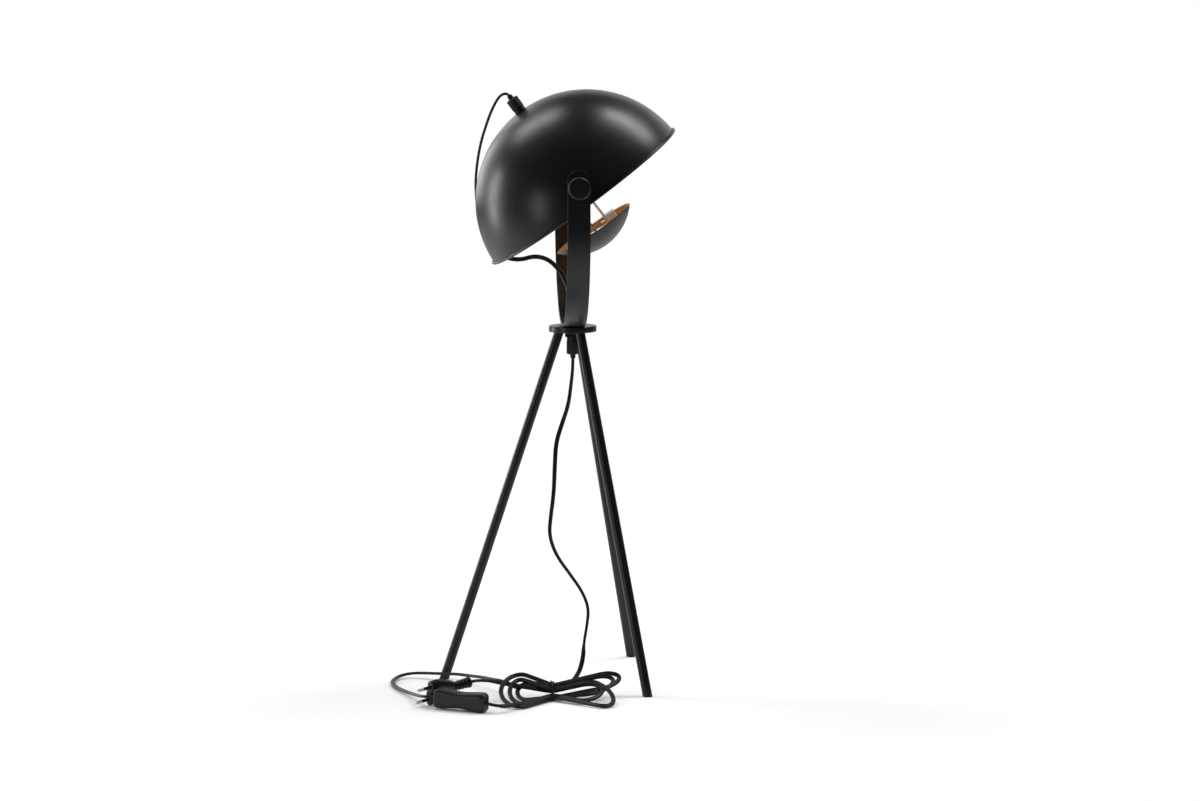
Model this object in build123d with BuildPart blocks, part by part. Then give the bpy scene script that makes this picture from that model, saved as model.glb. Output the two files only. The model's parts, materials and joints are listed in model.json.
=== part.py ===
from build123d import *
from math import asin, cos, degrees, pi, radians, sin, sqrt, tan
import os

# Tabletop searchlight lamp: a tripod, a flat-bar yoke and a tilting half-round shade
# with a small reflector dish in front of its mouth.
#
# Millimetres and degrees. +Z is up. The origin is on the floor, on the tripod's axis.
# The tilt axis runs along Y, and the mouth of the shade looks along +X and down.

# ---- driving dimensions -------------------------------------------------------------

# Tripod
hub_top = 450.0
hub_diameter = 60.0
hub_thickness = 7.5
hub_edge_round = 0.8
leg_diameter = 12.0
leg_wall = 1.0
leg_reach_at_hub = 17.1
leg_reach_at_floor = 165.8
foot_height = 3.0
foot_plug_length = 14.0
insert_length = 22.0
stud_diameter = 6.0
stud_depth_in_leg = 17.0
stud_depth_in_hub = 5.6

# Hollow threaded nipples, nuts and cord grips
nipple_diameter = 10.0
nipple_bore = 7.0
nut_thickness = 3.5
nut_across_flats = 14.0
lock_nut_thickness = 7.0
lock_nut_across_flats = 17.0
nipple_end_beyond_nut = 1.5
nipple_depth_in_grip = 10.0
grip_diameter = 15.0
grip_cap_diameter = 15.8
grip_collar_height = 4.7
grip_neck_diameter = 12.0
grip_neck_height = 7.0
grip_cap_end_wall = 2.0
hub_grip_length = 21.8
apex_grip_length = 19.4
nozzle_diameter = 7.3
nozzle_length = 5.2
collet_flange_diameter = 11.6
collet_flange_thickness = 2.0

# Yoke, bent from flat bar
bar_width = 28.0
bar_thickness = 3.0
arm_clearance = 7.0
yoke_flat_half_length = 10.0
pivot_rise = 182.5
arm_end_rise = 22.1

# Tilt pivots and clamping knobs
knob_diameter = 28.0
knob_thickness = 12.0
knob_outer_round = 3.0
knob_inner_round = 0.6
knob_stud_depth = 8.0
washer_diameter = 18.0
washer_thickness = 0.8
spacer_diameter = 18.0
pivot_insert_diameter = 12.0
pivot_insert_depth = 16.0
stud_tip_depth = 15.0

# Shade: a shell of a sphere, with its mouth this far below the horizontal
mouth_angle = 53.85
shade_radius = 140.0
shade_wall = 1.0
shade_centre_along = 31.2
lip_along = 25.5
lip_overhang = 2.7
bead_radius = 1.7

# Canopy inside the shade's top, with the terminal block
canopy_radius = 27.0
canopy_wall = 1.0
canopy_depth = 25.0
canopy_cover_thickness = 1.2
terminal_width = 24.0
terminal_depth = 12.0
terminal_height = 12.0
terminal_offset = 8.0

# Reflector dish in front of the lamp
dish_radius = 55.0
dish_depth = 26.0
dish_wall = 1.0
dish_along = 64.7
dish_across = -13.7
dish_extra_tilt = 1.85
rod_diameter = 3.0
rod_spread = 18.0
boss_diameter = 7.0
boss_height = 8.0
rod_stop_above_dish = 1.0
bracket_depth = 9.0
bracket_thickness = 1.5
bracket_bar_half_length = 23.0
bracket_bar_width = 10.0
bracket_tongue_width = 14.0
bracket_tongue_reach = 34.0
rod_nut_across_flats = 5.5
rod_nut_thickness = 2.4

# Lamp and its holder
holder_near = 17.2
holder_far = 33.8
holder_width = 26.0
holder_height = 15.0
holder_round = 2.0
bulb_radius = 6.5
bulb_length = 32.0
bulb_pinch_length = 10.0
bulb_pinch_width = 13.0
bulb_pinch_thickness = 5.0
bulb_pin_spacing = 9.0
bulb_pin_diameter = 1.0
bulb_pin_depth = 7.0
lead_diameter = 3.4
lead_across = 5.6
lead_side = -9.0
lead_bow = 1.8
lead_depth_in_canopy = 6.0
lead_first_along = -66.0
lead_second_along = -32.0
lead_third_along = 6.0
lead_fourth_along = 39.0
lead_hole_clearance = 0.3
lead_entry_in_holder = 2.6
lead_depth_in_holder = 2.5

# Two-core mains cord
cord_diameter = 5.8

# In-line switch, lying on its long narrow side with the rocker at the back
switch_centre = (-151.5, -218.5, 13.1)
switch_heading = -29.0
switch_droop = 2.0
switch_length = 70.0
switch_width = 24.0
switch_waist = 19.5
switch_corner_radius = 6.0
switch_height = 18.0
switch_split = 9.0
switch_wall = 1.8
switch_edge_round = 3.0
rocker_length = 22.0
rocker_width = 10.5
rocker_thickness = 4.0
rocker_pin_diameter = 2.0
rocker_pin_length = 15.0
rocker_half_travel = 8.0
rocker_lug_thickness = 1.8
rocker_proud = 1.2
switch_screw_place = 25.0
switch_screw_diameter = 3.0
switch_screw_head_diameter = 5.2
switch_screw_head_height = 0.9
switch_screw_end = 14.0
switch_post_diameter = 6.4
terminal_place = 14.0
switch_terminal_length = 8.0
switch_terminal_width = 7.0
switch_terminal_height = 6.0
cord_entry_depth = 6.0

# Two-pin plug, leaning on its narrow edge
plug_face = (-188.9, -188.7, 16.7)
plug_heading = 30.2
plug_rise = 7.9
plug_lean = 26.0
plug_width = 35.0
plug_thickness = 13.7
plug_body_length = 34.0
plug_straight_length = 12.0
plug_back_width = 17.0
plug_back_thickness = 12.0
plug_chamfer = 4.6
plug_back_chamfer = 4.0
plug_edge_round = 1.5
relief_length = 25.0
relief_diameter = 9.0
relief_rib_diameter = 12.5
relief_rib_thickness = 3.0
relief_rib_count = 4
pin_diameter = 4.0
pin_length = 19.0
pin_spacing = 18.6
pin_sleeve_length = 10.0
pin_depth_in_body = 12.0
pin_sleeve_wall = 0.35
pin_tip_round = 1.4

# Hank of spare cord and its tie
hank_left_lobe = (-75.0, -177.0)
hank_left_radii = (27.5, 47.0)
hank_right_lobe = (8.5, -176.0)
hank_right_radii = (38.5, 46.0)
hank_waist = (-36.0, -155.0)
hank_waist_length = 60.0
hank_waist_width = 30.0
hank_waist_height = 20.0
hank_front_height = 9.0
hank_back_height = 30.0
tie_width = 4.0
tie_wall = 1.2
tie_tail_length = 9.0

# Straight stretches of cord at the switch and the plug
straight_before_switch = 3.0
straight_after_switch = 1.0
straight_after_plug = 9.0

# Clearances
fit_clearance = 0.05
thread_clearance = 0.02
running_gap = 0.1
rod_hole_clearance = 0.4
nut_slack = 0.5
rocker_side_gap = 0.4
rocker_end_gap = 0.9

# The part of a cord's run that an arc may take up at each end
arc_share_of_run = 0.45

# ---- derived places -----------------------------------------------------------------

leg_azimuths = {"left": 180, "back": 180 - 360 / 3, "front": 180 + 360 / 3}
hub_underside = hub_top - hub_thickness
lock_nut_bottom = hub_underside - lock_nut_thickness
nozzle_end_height = lock_nut_bottom - hub_grip_length - nozzle_length
nipple_top = hub_top + bar_thickness + nut_thickness + nipple_end_beyond_nut
arm_inner = shade_radius + arm_clearance
yoke_outer_half_width = arm_inner + bar_thickness
yoke_bend_radius = yoke_outer_half_width - yoke_flat_half_length
spacer_outer = arm_inner - washer_thickness - running_gap
pivot_insert_reach = shade_radius - pivot_insert_depth
stud_tip_reach = shade_radius - stud_tip_depth
lip_radius = shade_radius + lip_overhang
pivot_height = hub_top + pivot_rise
arm_top = pivot_height + arm_end_rise

pivot = Vector(0, 0, pivot_height)
mouth_direction = Vector(cos(radians(mouth_angle)), 0, -sin(radians(mouth_angle)))
mouth_crosswise = Vector(sin(radians(mouth_angle)), 0, cos(radians(mouth_angle)))
dish_angle = mouth_angle + dish_extra_tilt
dish_direction = Vector(cos(radians(dish_angle)), 0, -sin(radians(dish_angle)))
dish_crosswise = Vector(sin(radians(dish_angle)), 0, cos(radians(dish_angle)))


def head_point(along, across=0.0, side=0.0):
    """A point of the head: along the mouth's direction, across it, and to the side."""
    return pivot + mouth_direction * along + mouth_crosswise * across + Vector(0, side, 0)


def head_plane(along):
    """The plane square to the mouth's direction, with x to the side and y across."""
    return Plane(origin=head_point(along), x_dir=(0, 1, 0), z_dir=mouth_direction)


dish_origin = head_point(dish_along, dish_across)


def dish_point(depth, across=0.0, side=0.0):
    """A point of the dish: its depth below the rim, across it, and to the side."""
    return dish_origin + dish_direction * depth + dish_crosswise * across + Vector(0, side, 0)


def dish_plane(depth):
    """The plane parallel to the dish's rim at a depth, with x to the side and y across."""
    return Plane(origin=dish_point(depth), x_dir=(0, 1, 0), z_dir=dish_direction)


def lamp_plane(across, facing=1):
    """The plane square to the lamp's length at a place across the dish, with x to the side."""
    return Plane(origin=dish_point(lamp_depth, across), x_dir=(0, 1, 0), z_dir=dish_crosswise * facing)


def side_plane(side, distance):
    """The plane square to the tilt axis, facing outward on one side of the head."""
    return Plane(origin=pivot, x_dir=(1, 0, 0), z_dir=(0, side, 0)).offset(distance)


head_section = Plane(origin=pivot, x_dir=mouth_crosswise, z_dir=(0, 1, 0))
head_axis = Axis(pivot, mouth_direction)
dish_section = Plane(origin=dish_origin, x_dir=dish_crosswise, z_dir=(0, 1, 0))
dish_axis = Axis(dish_origin, dish_direction)
shade_centre = head_point(shade_centre_along)
nipple_hole_radius = nipple_diameter / 2 + running_gap
apex_seat = shade_centre_along - sqrt(shade_radius**2 - nipple_hole_radius**2)
shade_inner_radius = shade_radius - shade_wall
canopy_seat = shade_centre_along - sqrt(shade_inner_radius**2 - canopy_radius**2)
canopy_floor = canopy_seat + canopy_wall
canopy_mouth = canopy_seat + canopy_depth
dish_sphere = (dish_radius**2 + dish_depth**2) / (2 * dish_depth)
dish_centre_depth = dish_depth - dish_sphere


def save(piece, name):
    """Label a finished piece and write its STEP file."""
    piece.part.label = name
    export_step(piece.part, "parts/" + name + ".step")


def leg_plane(azimuth):
    """The plane across a leg where its axis meets the floor, and the leg's length."""
    outward = Vector(cos(radians(azimuth)), sin(radians(azimuth)), 0)
    foot = outward * leg_reach_at_floor
    head = outward * leg_reach_at_hub + Vector(0, 0, hub_underside)
    return Plane(origin=foot, z_dir=head - foot), (head - foot).length


def smooth_radii(points, name):
    """The largest tangent arcs that the runs of a cord's route leave room for."""
    radii = []
    for before, here, after in zip(points, points[1:], points[2:]):
        run_in = Vector(here) - Vector(before)
        run_out = Vector(after) - Vector(here)
        turn = run_in.get_angle(run_out)
        shorter = min(run_in.length, run_out.length)
        radii.append(arc_share_of_run * shorter / tan(radians(turn / 2)))
    print(name, "smallest radius", round(min(radii), 1), [round(r) for r in radii])
    return radii


# ---- tripod -------------------------------------------------------------------------

with BuildPart() as hub_disc:
    with BuildSketch(Plane.XY.offset(hub_underside)):
        Circle(hub_diameter / 2)
    extrude(amount=hub_thickness)
    fillet(hub_disc.edges().filter_by(GeomType.CIRCLE), radius=hub_edge_round)
    with BuildSketch(Plane.XY.offset(hub_underside)):
        Circle(nipple_hole_radius)
    extrude(amount=hub_thickness, mode=Mode.SUBTRACT)
    for azimuth in leg_azimuths.values():
        across_leg, leg_length = leg_plane(azimuth)
        with BuildSketch(across_leg.offset(leg_length - stud_depth_in_leg)):
            Circle(stud_diameter / 2 + fit_clearance)
        extrude(amount=stud_depth_in_leg + stud_depth_in_hub + fit_clearance, mode=Mode.SUBTRACT)
save(hub_disc, "hub_disc")

for side_name, azimuth in leg_azimuths.items():
    across_leg, leg_length = leg_plane(azimuth)

    with BuildPart() as leg:
        with BuildSketch(across_leg.offset(-leg_diameter)):
            Circle(leg_diameter / 2)
            Circle(leg_diameter / 2 - leg_wall, mode=Mode.SUBTRACT)
        extrude(amount=leg_length + 2 * leg_diameter)
        split(bisect_by=Plane.XY.offset(hub_underside), keep=Keep.BOTTOM)
        split(bisect_by=Plane.XY.offset(foot_height), keep=Keep.TOP)
    save(leg, "leg_" + side_name)

    with BuildPart() as foot:
        with BuildSketch(across_leg.offset(-leg_diameter)):
            Circle(leg_diameter / 2)
        extrude(amount=3 * leg_diameter)
        split(bisect_by=Plane.XY.offset(foot_height), keep=Keep.BOTTOM)
        with BuildSketch(across_leg.offset(-leg_diameter)):
            Circle(leg_diameter / 2 - leg_wall - fit_clearance)
        extrude(amount=leg_diameter + foot_plug_length)
        split(bisect_by=Plane.XY, keep=Keep.TOP)
    save(foot, "foot_" + side_name)

with BuildPart() as leg_inserts:
    for azimuth in leg_azimuths.values():
        across_leg, leg_length = leg_plane(azimuth)
        with BuildSketch(across_leg.offset(leg_length - insert_length)):
            Circle(leg_diameter / 2 - leg_wall - fit_clearance)
            Circle(stud_diameter / 2 + fit_clearance, mode=Mode.SUBTRACT)
        extrude(amount=insert_length + leg_diameter)
    split(bisect_by=Plane.XY.offset(hub_underside), keep=Keep.BOTTOM)
save(leg_inserts, "leg_inserts")

with BuildPart() as leg_studs:
    for azimuth in leg_azimuths.values():
        across_leg, leg_length = leg_plane(azimuth)
        with BuildSketch(across_leg.offset(leg_length - stud_depth_in_leg)):
            Circle(stud_diameter / 2)
        extrude(amount=stud_depth_in_leg + stud_depth_in_hub)
save(leg_studs, "leg_studs")

with BuildPart() as hub_lock_nut:
    with BuildSketch(Plane.XY.offset(lock_nut_bottom)):
        RegularPolygon(lock_nut_across_flats / 2, 6, major_radius=False)
        Circle(nipple_diameter / 2 + fit_clearance, mode=Mode.SUBTRACT)
    extrude(amount=lock_nut_thickness)
save(hub_lock_nut, "hub_lock_nut")

with BuildPart() as hub_nipple:
    with BuildSketch(Plane.XY.offset(lock_nut_bottom - nipple_depth_in_grip)):
        Circle(nipple_diameter / 2)
        Circle(nipple_bore / 2, mode=Mode.SUBTRACT)
    extrude(amount=nipple_top - lock_nut_bottom + nipple_depth_in_grip)
save(hub_nipple, "hub_nipple")

with BuildPart() as yoke_nut:
    with BuildSketch(Plane.XY.offset(hub_top + bar_thickness)):
        RegularPolygon(nut_across_flats / 2, 6, major_radius=False)
        Circle(nipple_diameter / 2 + fit_clearance, mode=Mode.SUBTRACT)
    extrude(amount=nut_thickness)
save(yoke_nut, "yoke_nut")

# ---- yoke ---------------------------------------------------------------------------

bar_middle = hub_top + bar_thickness / 2
middle_half_width = yoke_outer_half_width - bar_thickness / 2
middle_bend_radius = yoke_bend_radius - bar_thickness / 2

with BuildPart() as yoke:
    with BuildSketch(Plane.YZ):
        with BuildLine() as bar_line:
            FilletPolyline(
                (-middle_half_width, arm_top),
                (-middle_half_width, bar_middle),
                (middle_half_width, bar_middle),
                (middle_half_width, arm_top),
                radius=middle_bend_radius,
            )
            offset(amount=bar_thickness / 2, kind=Kind.INTERSECTION)
        make_face()
    extrude(amount=bar_width / 2, both=True)
    with BuildSketch(Plane.XZ):
        arm_round_centre = arm_top - bar_width / 2
        with Locations((0, arm_round_centre)):
            Circle(bar_width / 2)
        with Locations((0, (arm_round_centre + hub_top) / 2)):
            Rectangle(bar_width, arm_round_centre - hub_top)
    extrude(amount=yoke_outer_half_width + bar_thickness, both=True, mode=Mode.INTERSECT)
    with BuildSketch(Plane.XZ):
        with Locations((0, pivot_height)):
            Circle(stud_diameter / 2 + running_gap)
    extrude(amount=yoke_outer_half_width + bar_thickness, both=True, mode=Mode.SUBTRACT)
    with BuildSketch(Plane.XY.offset(hub_top)):
        Circle(nipple_hole_radius)
    extrude(amount=bar_thickness, mode=Mode.SUBTRACT)
save(yoke, "yoke")

with BuildPart() as arm_washers:
    for side in (-1, 1):
        with BuildSketch(side_plane(side, arm_inner - washer_thickness)):
            Circle(washer_diameter / 2)
            Circle(stud_diameter / 2 + running_gap, mode=Mode.SUBTRACT)
        extrude(amount=washer_thickness)
save(arm_washers, "arm_washers")

# ---- clamping knobs -----------------------------------------------------------------

for knob_name, side in (("near", -1), ("far", 1)):
    knob_face = yoke_outer_half_width + running_gap

    with BuildPart() as knob:
        with BuildSketch(side_plane(side, knob_face)):
            Circle(knob_diameter / 2)
        extrude(amount=knob_thickness)
        by_side = knob.edges().filter_by(GeomType.CIRCLE).sort_by(Axis.Y)
        outer_rim = by_side[-1] if side > 0 else by_side[0]
        inner_rim = by_side[0] if side > 0 else by_side[-1]
        fillet(outer_rim, radius=knob_outer_round)
        fillet(inner_rim, radius=knob_inner_round)
        with BuildSketch(side_plane(side, knob_face)):
            Circle(stud_diameter / 2 + thread_clearance)
        extrude(amount=knob_stud_depth, mode=Mode.SUBTRACT)
    save(knob, knob_name + "_knob")

    with BuildPart() as knob_stud:
        with BuildSketch(side_plane(side, stud_tip_reach)):
            Circle(stud_diameter / 2)
        extrude(amount=knob_face + knob_stud_depth - stud_tip_reach)
    save(knob_stud, knob_name + "_knob_stud")

# ---- shade --------------------------------------------------------------------------


def lip_angle(radius):
    """Where a sphere of this radius about the shade's centre meets the plane of the lip."""
    return degrees(asin((lip_along - shade_centre_along) / radius))


with BuildPart() as shade:
    with BuildSketch(head_section):
        with BuildLine():
            outer = CenterArc((0, shade_centre_along), shade_radius, -90, 90 + lip_angle(shade_radius))
            inner = CenterArc(
                (0, shade_centre_along), shade_inner_radius, -90, 90 + lip_angle(shade_inner_radius)
            )
            Line(outer @ 0, inner @ 0)
            Line(outer @ 1, inner @ 1)
        make_face()
        with Locations((lip_radius - bead_radius, lip_along - bead_radius)):
            Circle(bead_radius)
    revolve(axis=head_axis)
    with BuildSketch(head_plane(canopy_seat)):
        Circle(nipple_hole_radius)
    extrude(amount=-canopy_radius, mode=Mode.SUBTRACT)
    with BuildSketch(side_plane(1, 0)):
        Circle(stud_diameter / 2 + 2 * running_gap)
    extrude(amount=shade_radius, both=True, mode=Mode.SUBTRACT)
save(shade, "shade")

with BuildPart() as pivot_spacers:
    for side in (-1, 1):
        with BuildSketch(side_plane(side, pivot_insert_reach)):
            Circle(spacer_diameter / 2)
            Circle(stud_diameter / 2 + fit_clearance, mode=Mode.SUBTRACT)
        extrude(amount=spacer_outer - pivot_insert_reach)
    with Locations(shade_centre):
        Sphere(shade_radius, mode=Mode.SUBTRACT)
save(pivot_spacers, "pivot_spacers")

with BuildPart() as pivot_inserts:
    for side in (-1, 1):
        with BuildSketch(side_plane(side, pivot_insert_reach)):
            Circle(pivot_insert_diameter / 2)
            Circle(stud_diameter / 2 + fit_clearance, mode=Mode.SUBTRACT)
        extrude(amount=shade_radius - pivot_insert_reach)
    with Locations(shade_centre):
        Sphere(shade_inner_radius, mode=Mode.INTERSECT)
save(pivot_inserts, "pivot_inserts")

# ---- cord grips: one under the hub, one on the shade's top ---------------------------

grips = {
    "hub_grip": (Plane(origin=(0, 0, lock_nut_bottom), x_dir=(1, 0, 0), z_dir=(0, 0, -1)), hub_grip_length),
    "apex_grip": (
        Plane(origin=head_point(apex_seat), x_dir=(0, 1, 0), z_dir=mouth_direction * -1),
        apex_grip_length,
    ),
}
cord_bore = cord_diameter / 2 + 2 * running_gap

for grip_name, (seat, grip_length) in grips.items():
    neck_top = grip_collar_height + grip_neck_height
    cap_floor = grip_length - grip_cap_end_wall

    with BuildPart() as grip_base:
        with BuildSketch(seat):
            Circle(grip_diameter / 2)
        extrude(amount=grip_collar_height)
        with BuildSketch(seat.offset(grip_collar_height)):
            Circle(grip_neck_diameter / 2)
        extrude(amount=grip_neck_height)
        with BuildSketch(seat):
            Circle(cord_bore)
        extrude(amount=neck_top, mode=Mode.SUBTRACT)
        with BuildSketch(seat):
            Circle(nipple_diameter / 2 + fit_clearance)
        extrude(amount=nipple_depth_in_grip + fit_clearance, mode=Mode.SUBTRACT)
    save(grip_base, grip_name + "_base")

    with BuildPart() as grip_cap:
        with BuildSketch(seat.offset(grip_collar_height)):
            Circle(grip_cap_diameter / 2)
        extrude(amount=grip_length - grip_collar_height)
        with BuildSketch(seat.offset(grip_collar_height)):
            Circle(grip_neck_diameter / 2 + fit_clearance)
        extrude(amount=cap_floor - grip_collar_height, mode=Mode.SUBTRACT)
        with BuildSketch(seat.offset(cap_floor)):
            Circle(nozzle_diameter / 2 + fit_clearance)
        extrude(amount=grip_cap_end_wall, mode=Mode.SUBTRACT)
    save(grip_cap, grip_name + "_cap")

    with BuildPart() as grip_collet:
        with BuildSketch(seat.offset(cap_floor - collet_flange_thickness)):
            Circle(collet_flange_diameter / 2)
        extrude(amount=collet_flange_thickness)
        with BuildSketch(seat.offset(cap_floor)):
            Circle(nozzle_diameter / 2)
        extrude(amount=grip_cap_end_wall + nozzle_length)
        with BuildSketch(seat.offset(cap_floor - collet_flange_thickness)):
            Circle(cord_bore)
        extrude(amount=collet_flange_thickness + grip_cap_end_wall + nozzle_length, mode=Mode.SUBTRACT)
    save(grip_collet, grip_name + "_collet")

# ---- nipple, canopy and terminal block inside the shade's top ------------------------

with BuildPart() as apex_nipple:
    with BuildSketch(head_plane(apex_seat - nipple_depth_in_grip)):
        Circle(nipple_diameter / 2)
        Circle(nipple_bore / 2, mode=Mode.SUBTRACT)
    extrude(amount=canopy_floor + nut_thickness + nipple_end_beyond_nut - apex_seat + nipple_depth_in_grip)
save(apex_nipple, "apex_nipple")

with BuildPart() as apex_nut:
    with BuildSketch(head_plane(canopy_floor)):
        RegularPolygon(nut_across_flats / 2, 6, major_radius=False)
        Circle(nipple_diameter / 2 + fit_clearance, mode=Mode.SUBTRACT)
    extrude(amount=nut_thickness)
save(apex_nut, "apex_nut")

with BuildPart() as lamp_canopy:
    with BuildSketch(head_plane(canopy_seat)):
        Circle(canopy_radius)
    extrude(amount=canopy_depth)
    with BuildSketch(head_plane(canopy_floor)):
        Circle(canopy_radius - canopy_wall)
    extrude(amount=canopy_depth, mode=Mode.SUBTRACT)
    with BuildSketch(head_plane(canopy_seat)):
        Circle(nipple_hole_radius)
    extrude(amount=canopy_wall, mode=Mode.SUBTRACT)
save(lamp_canopy, "lamp_canopy")

with BuildPart() as canopy_cover:
    with BuildSketch(head_plane(canopy_mouth)):
        Circle(canopy_radius)
        with Locations((-rod_spread, dish_across), (rod_spread, dish_across)):
            Circle(rod_diameter / 2 + fit_clearance, mode=Mode.SUBTRACT)
        with Locations((lead_side, lead_across)):
            Circle(lead_diameter / 2 + lead_hole_clearance, mode=Mode.SUBTRACT)
    extrude(amount=canopy_cover_thickness)
save(canopy_cover, "canopy_cover")

with BuildPart() as terminal_block:
    with BuildSketch(head_plane(canopy_floor)):
        with Locations((0, terminal_offset + terminal_depth / 2)):
            Rectangle(terminal_width, terminal_depth)
    extrude(amount=terminal_height)
save(terminal_block, "terminal_block")

# ---- dish, its rods and bracket ------------------------------------------------------


def rim_angle(radius):
    """Where a sphere of this radius about the dish's centre meets the plane of its rim."""
    return degrees(asin(-dish_centre_depth / radius))


with BuildPart() as dish:
    with BuildSketch(dish_section):
        with BuildLine():
            dish_back = CenterArc(
                (0, dish_centre_depth), dish_sphere, rim_angle(dish_sphere), 90 - rim_angle(dish_sphere)
            )
            dish_hollow = CenterArc(
                (0, dish_centre_depth),
                dish_sphere - dish_wall,
                rim_angle(dish_sphere - dish_wall),
                90 - rim_angle(dish_sphere - dish_wall),
            )
            Line(dish_back @ 0, dish_hollow @ 0)
            Line(dish_back @ 1, dish_hollow @ 1)
        make_face()
    revolve(axis=dish_axis)
save(dish, "dish")

rod_places = [(-rod_spread, dish_across), (rod_spread, dish_across)]
hollow_radius = dish_sphere - dish_wall
rod_landing = dish_along + dish_centre_depth + sqrt(hollow_radius**2 - rod_spread**2)

with BuildPart() as dish_rods:
    with BuildSketch(head_plane(canopy_floor)):
        with Locations(*rod_places):
            Circle(rod_diameter / 2)
    extrude(amount=rod_landing - rod_stop_above_dish - canopy_floor)
save(dish_rods, "dish_rods")

with BuildPart() as dish_bosses:
    with BuildSketch(head_plane(rod_landing - boss_height)):
        with Locations(*rod_places):
            Circle(boss_diameter / 2)
            Circle(rod_diameter / 2 + thread_clearance, mode=Mode.SUBTRACT)
    extrude(amount=2 * boss_height)
    with Locations(dish_point(dish_centre_depth)):
        Sphere(hollow_radius, mode=Mode.INTERSECT)
save(dish_bosses, "dish_bosses")

with BuildPart() as holder_bracket:
    with BuildSketch(dish_plane(bracket_depth)):
        Rectangle(2 * bracket_bar_half_length, bracket_bar_width)
        with Locations((0, bracket_tongue_reach / 2)):
            Rectangle(bracket_tongue_width, bracket_tongue_reach)
        with Locations((-rod_spread, 0), (rod_spread, 0)):
            Circle(rod_diameter / 2 + rod_hole_clearance, mode=Mode.SUBTRACT)
    extrude(amount=bracket_thickness)
save(holder_bracket, "holder_bracket")

with BuildPart() as rod_nuts:
    for nut_along in (
        dish_along + bracket_depth - nut_slack - rod_nut_thickness,
        dish_along + bracket_depth + bracket_thickness + nut_slack,
    ):
        with BuildSketch(head_plane(nut_along)):
            with Locations(*rod_places):
                RegularPolygon(rod_nut_across_flats / 2, 6, major_radius=False)
                Circle(rod_diameter / 2 + thread_clearance, mode=Mode.SUBTRACT)
        extrude(amount=rod_nut_thickness)
save(rod_nuts, "rod_nuts")

# ---- lamp and holder -----------------------------------------------------------------

holder_middle = (holder_near + holder_far) / 2
lamp_depth = bracket_depth - holder_height / 2
bulb_gap = 4 * running_gap
pinch_start = holder_near - bulb_gap

with BuildPart() as lamp_holder:
    with BuildSketch(dish_plane(bracket_depth - holder_height)):
        with Locations((0, holder_middle)):
            RectangleRounded(holder_width, holder_far - holder_near, holder_round)
    extrude(amount=holder_height)
    with BuildSketch(lamp_plane(holder_near)):
        with Locations((-bulb_pin_spacing / 2, 0), (bulb_pin_spacing / 2, 0)):
            Circle(bulb_pin_diameter / 2 + running_gap)
    extrude(amount=bulb_pin_depth + running_gap, mode=Mode.SUBTRACT)
    with BuildSketch(dish_plane(bracket_depth - holder_height)):
        with Locations((lead_side, holder_near + lead_entry_in_holder)):
            Circle(lead_diameter / 2 + lead_hole_clearance)
    extrude(amount=lead_depth_in_holder + running_gap, mode=Mode.SUBTRACT)
save(lamp_holder, "lamp_holder")

with BuildPart() as bulb_glass:
    with BuildSketch(lamp_plane(pinch_start, -1)):
        Rectangle(bulb_pinch_width, bulb_pinch_thickness)
    extrude(amount=bulb_pinch_length)
    with BuildSketch(
        Plane(
            origin=dish_point(lamp_depth, pinch_start - bulb_pinch_length / 2),
            x_dir=(0, 1, 0),
            z_dir=dish_crosswise * -1,
        )
    ):
        Circle(bulb_radius)
    extrude(amount=bulb_length - bulb_pinch_length / 2 - bulb_radius)
    with Locations(dish_point(lamp_depth, pinch_start - bulb_length + bulb_radius)):
        Sphere(bulb_radius)
save(bulb_glass, "bulb_glass")

with BuildPart() as bulb_pins:
    with BuildSketch(lamp_plane(pinch_start)):
        with Locations((-bulb_pin_spacing / 2, 0), (bulb_pin_spacing / 2, 0)):
            Circle(bulb_pin_diameter / 2)
    extrude(amount=bulb_pin_depth + bulb_gap)
save(bulb_pins, "bulb_pins")

lead_route = [
    head_point(canopy_mouth - lead_depth_in_canopy, lead_across, lead_side),
    head_point(lead_first_along, lead_across, lead_side),
    head_point(lead_second_along, lead_across + lead_bow, lead_side),
    head_point(lead_third_along, lead_across - lead_bow, lead_side),
    head_point(lead_fourth_along, lead_across, lead_side),
    dish_point(
        lamp_depth - holder_height / 2 + lead_depth_in_holder,
        holder_near + lead_entry_in_holder,
        lead_side,
    ),
]
with BuildPart() as lamp_lead:
    with BuildLine() as lead_line:
        FilletPolyline(*lead_route, radius=smooth_radii(lead_route, "lamp_lead"))
    with BuildSketch(Plane(origin=lead_line.line @ 0, z_dir=lead_line.line % 0)):
        Circle(lead_diameter / 2)
    sweep()
save(lamp_lead, "lamp_lead")

# ---- in-line switch ------------------------------------------------------------------

switch_along = Vector(
    cos(radians(switch_heading)) * cos(radians(switch_droop)),
    sin(radians(switch_heading)) * cos(radians(switch_droop)),
    -sin(radians(switch_droop)),
)
switch_back = Vector(-sin(radians(switch_heading)), cos(radians(switch_heading)), 0)
switch_plane = Plane(
    origin=Vector(*switch_centre) - switch_back * (switch_height / 2),
    x_dir=switch_along,
    z_dir=switch_back,
)


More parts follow.
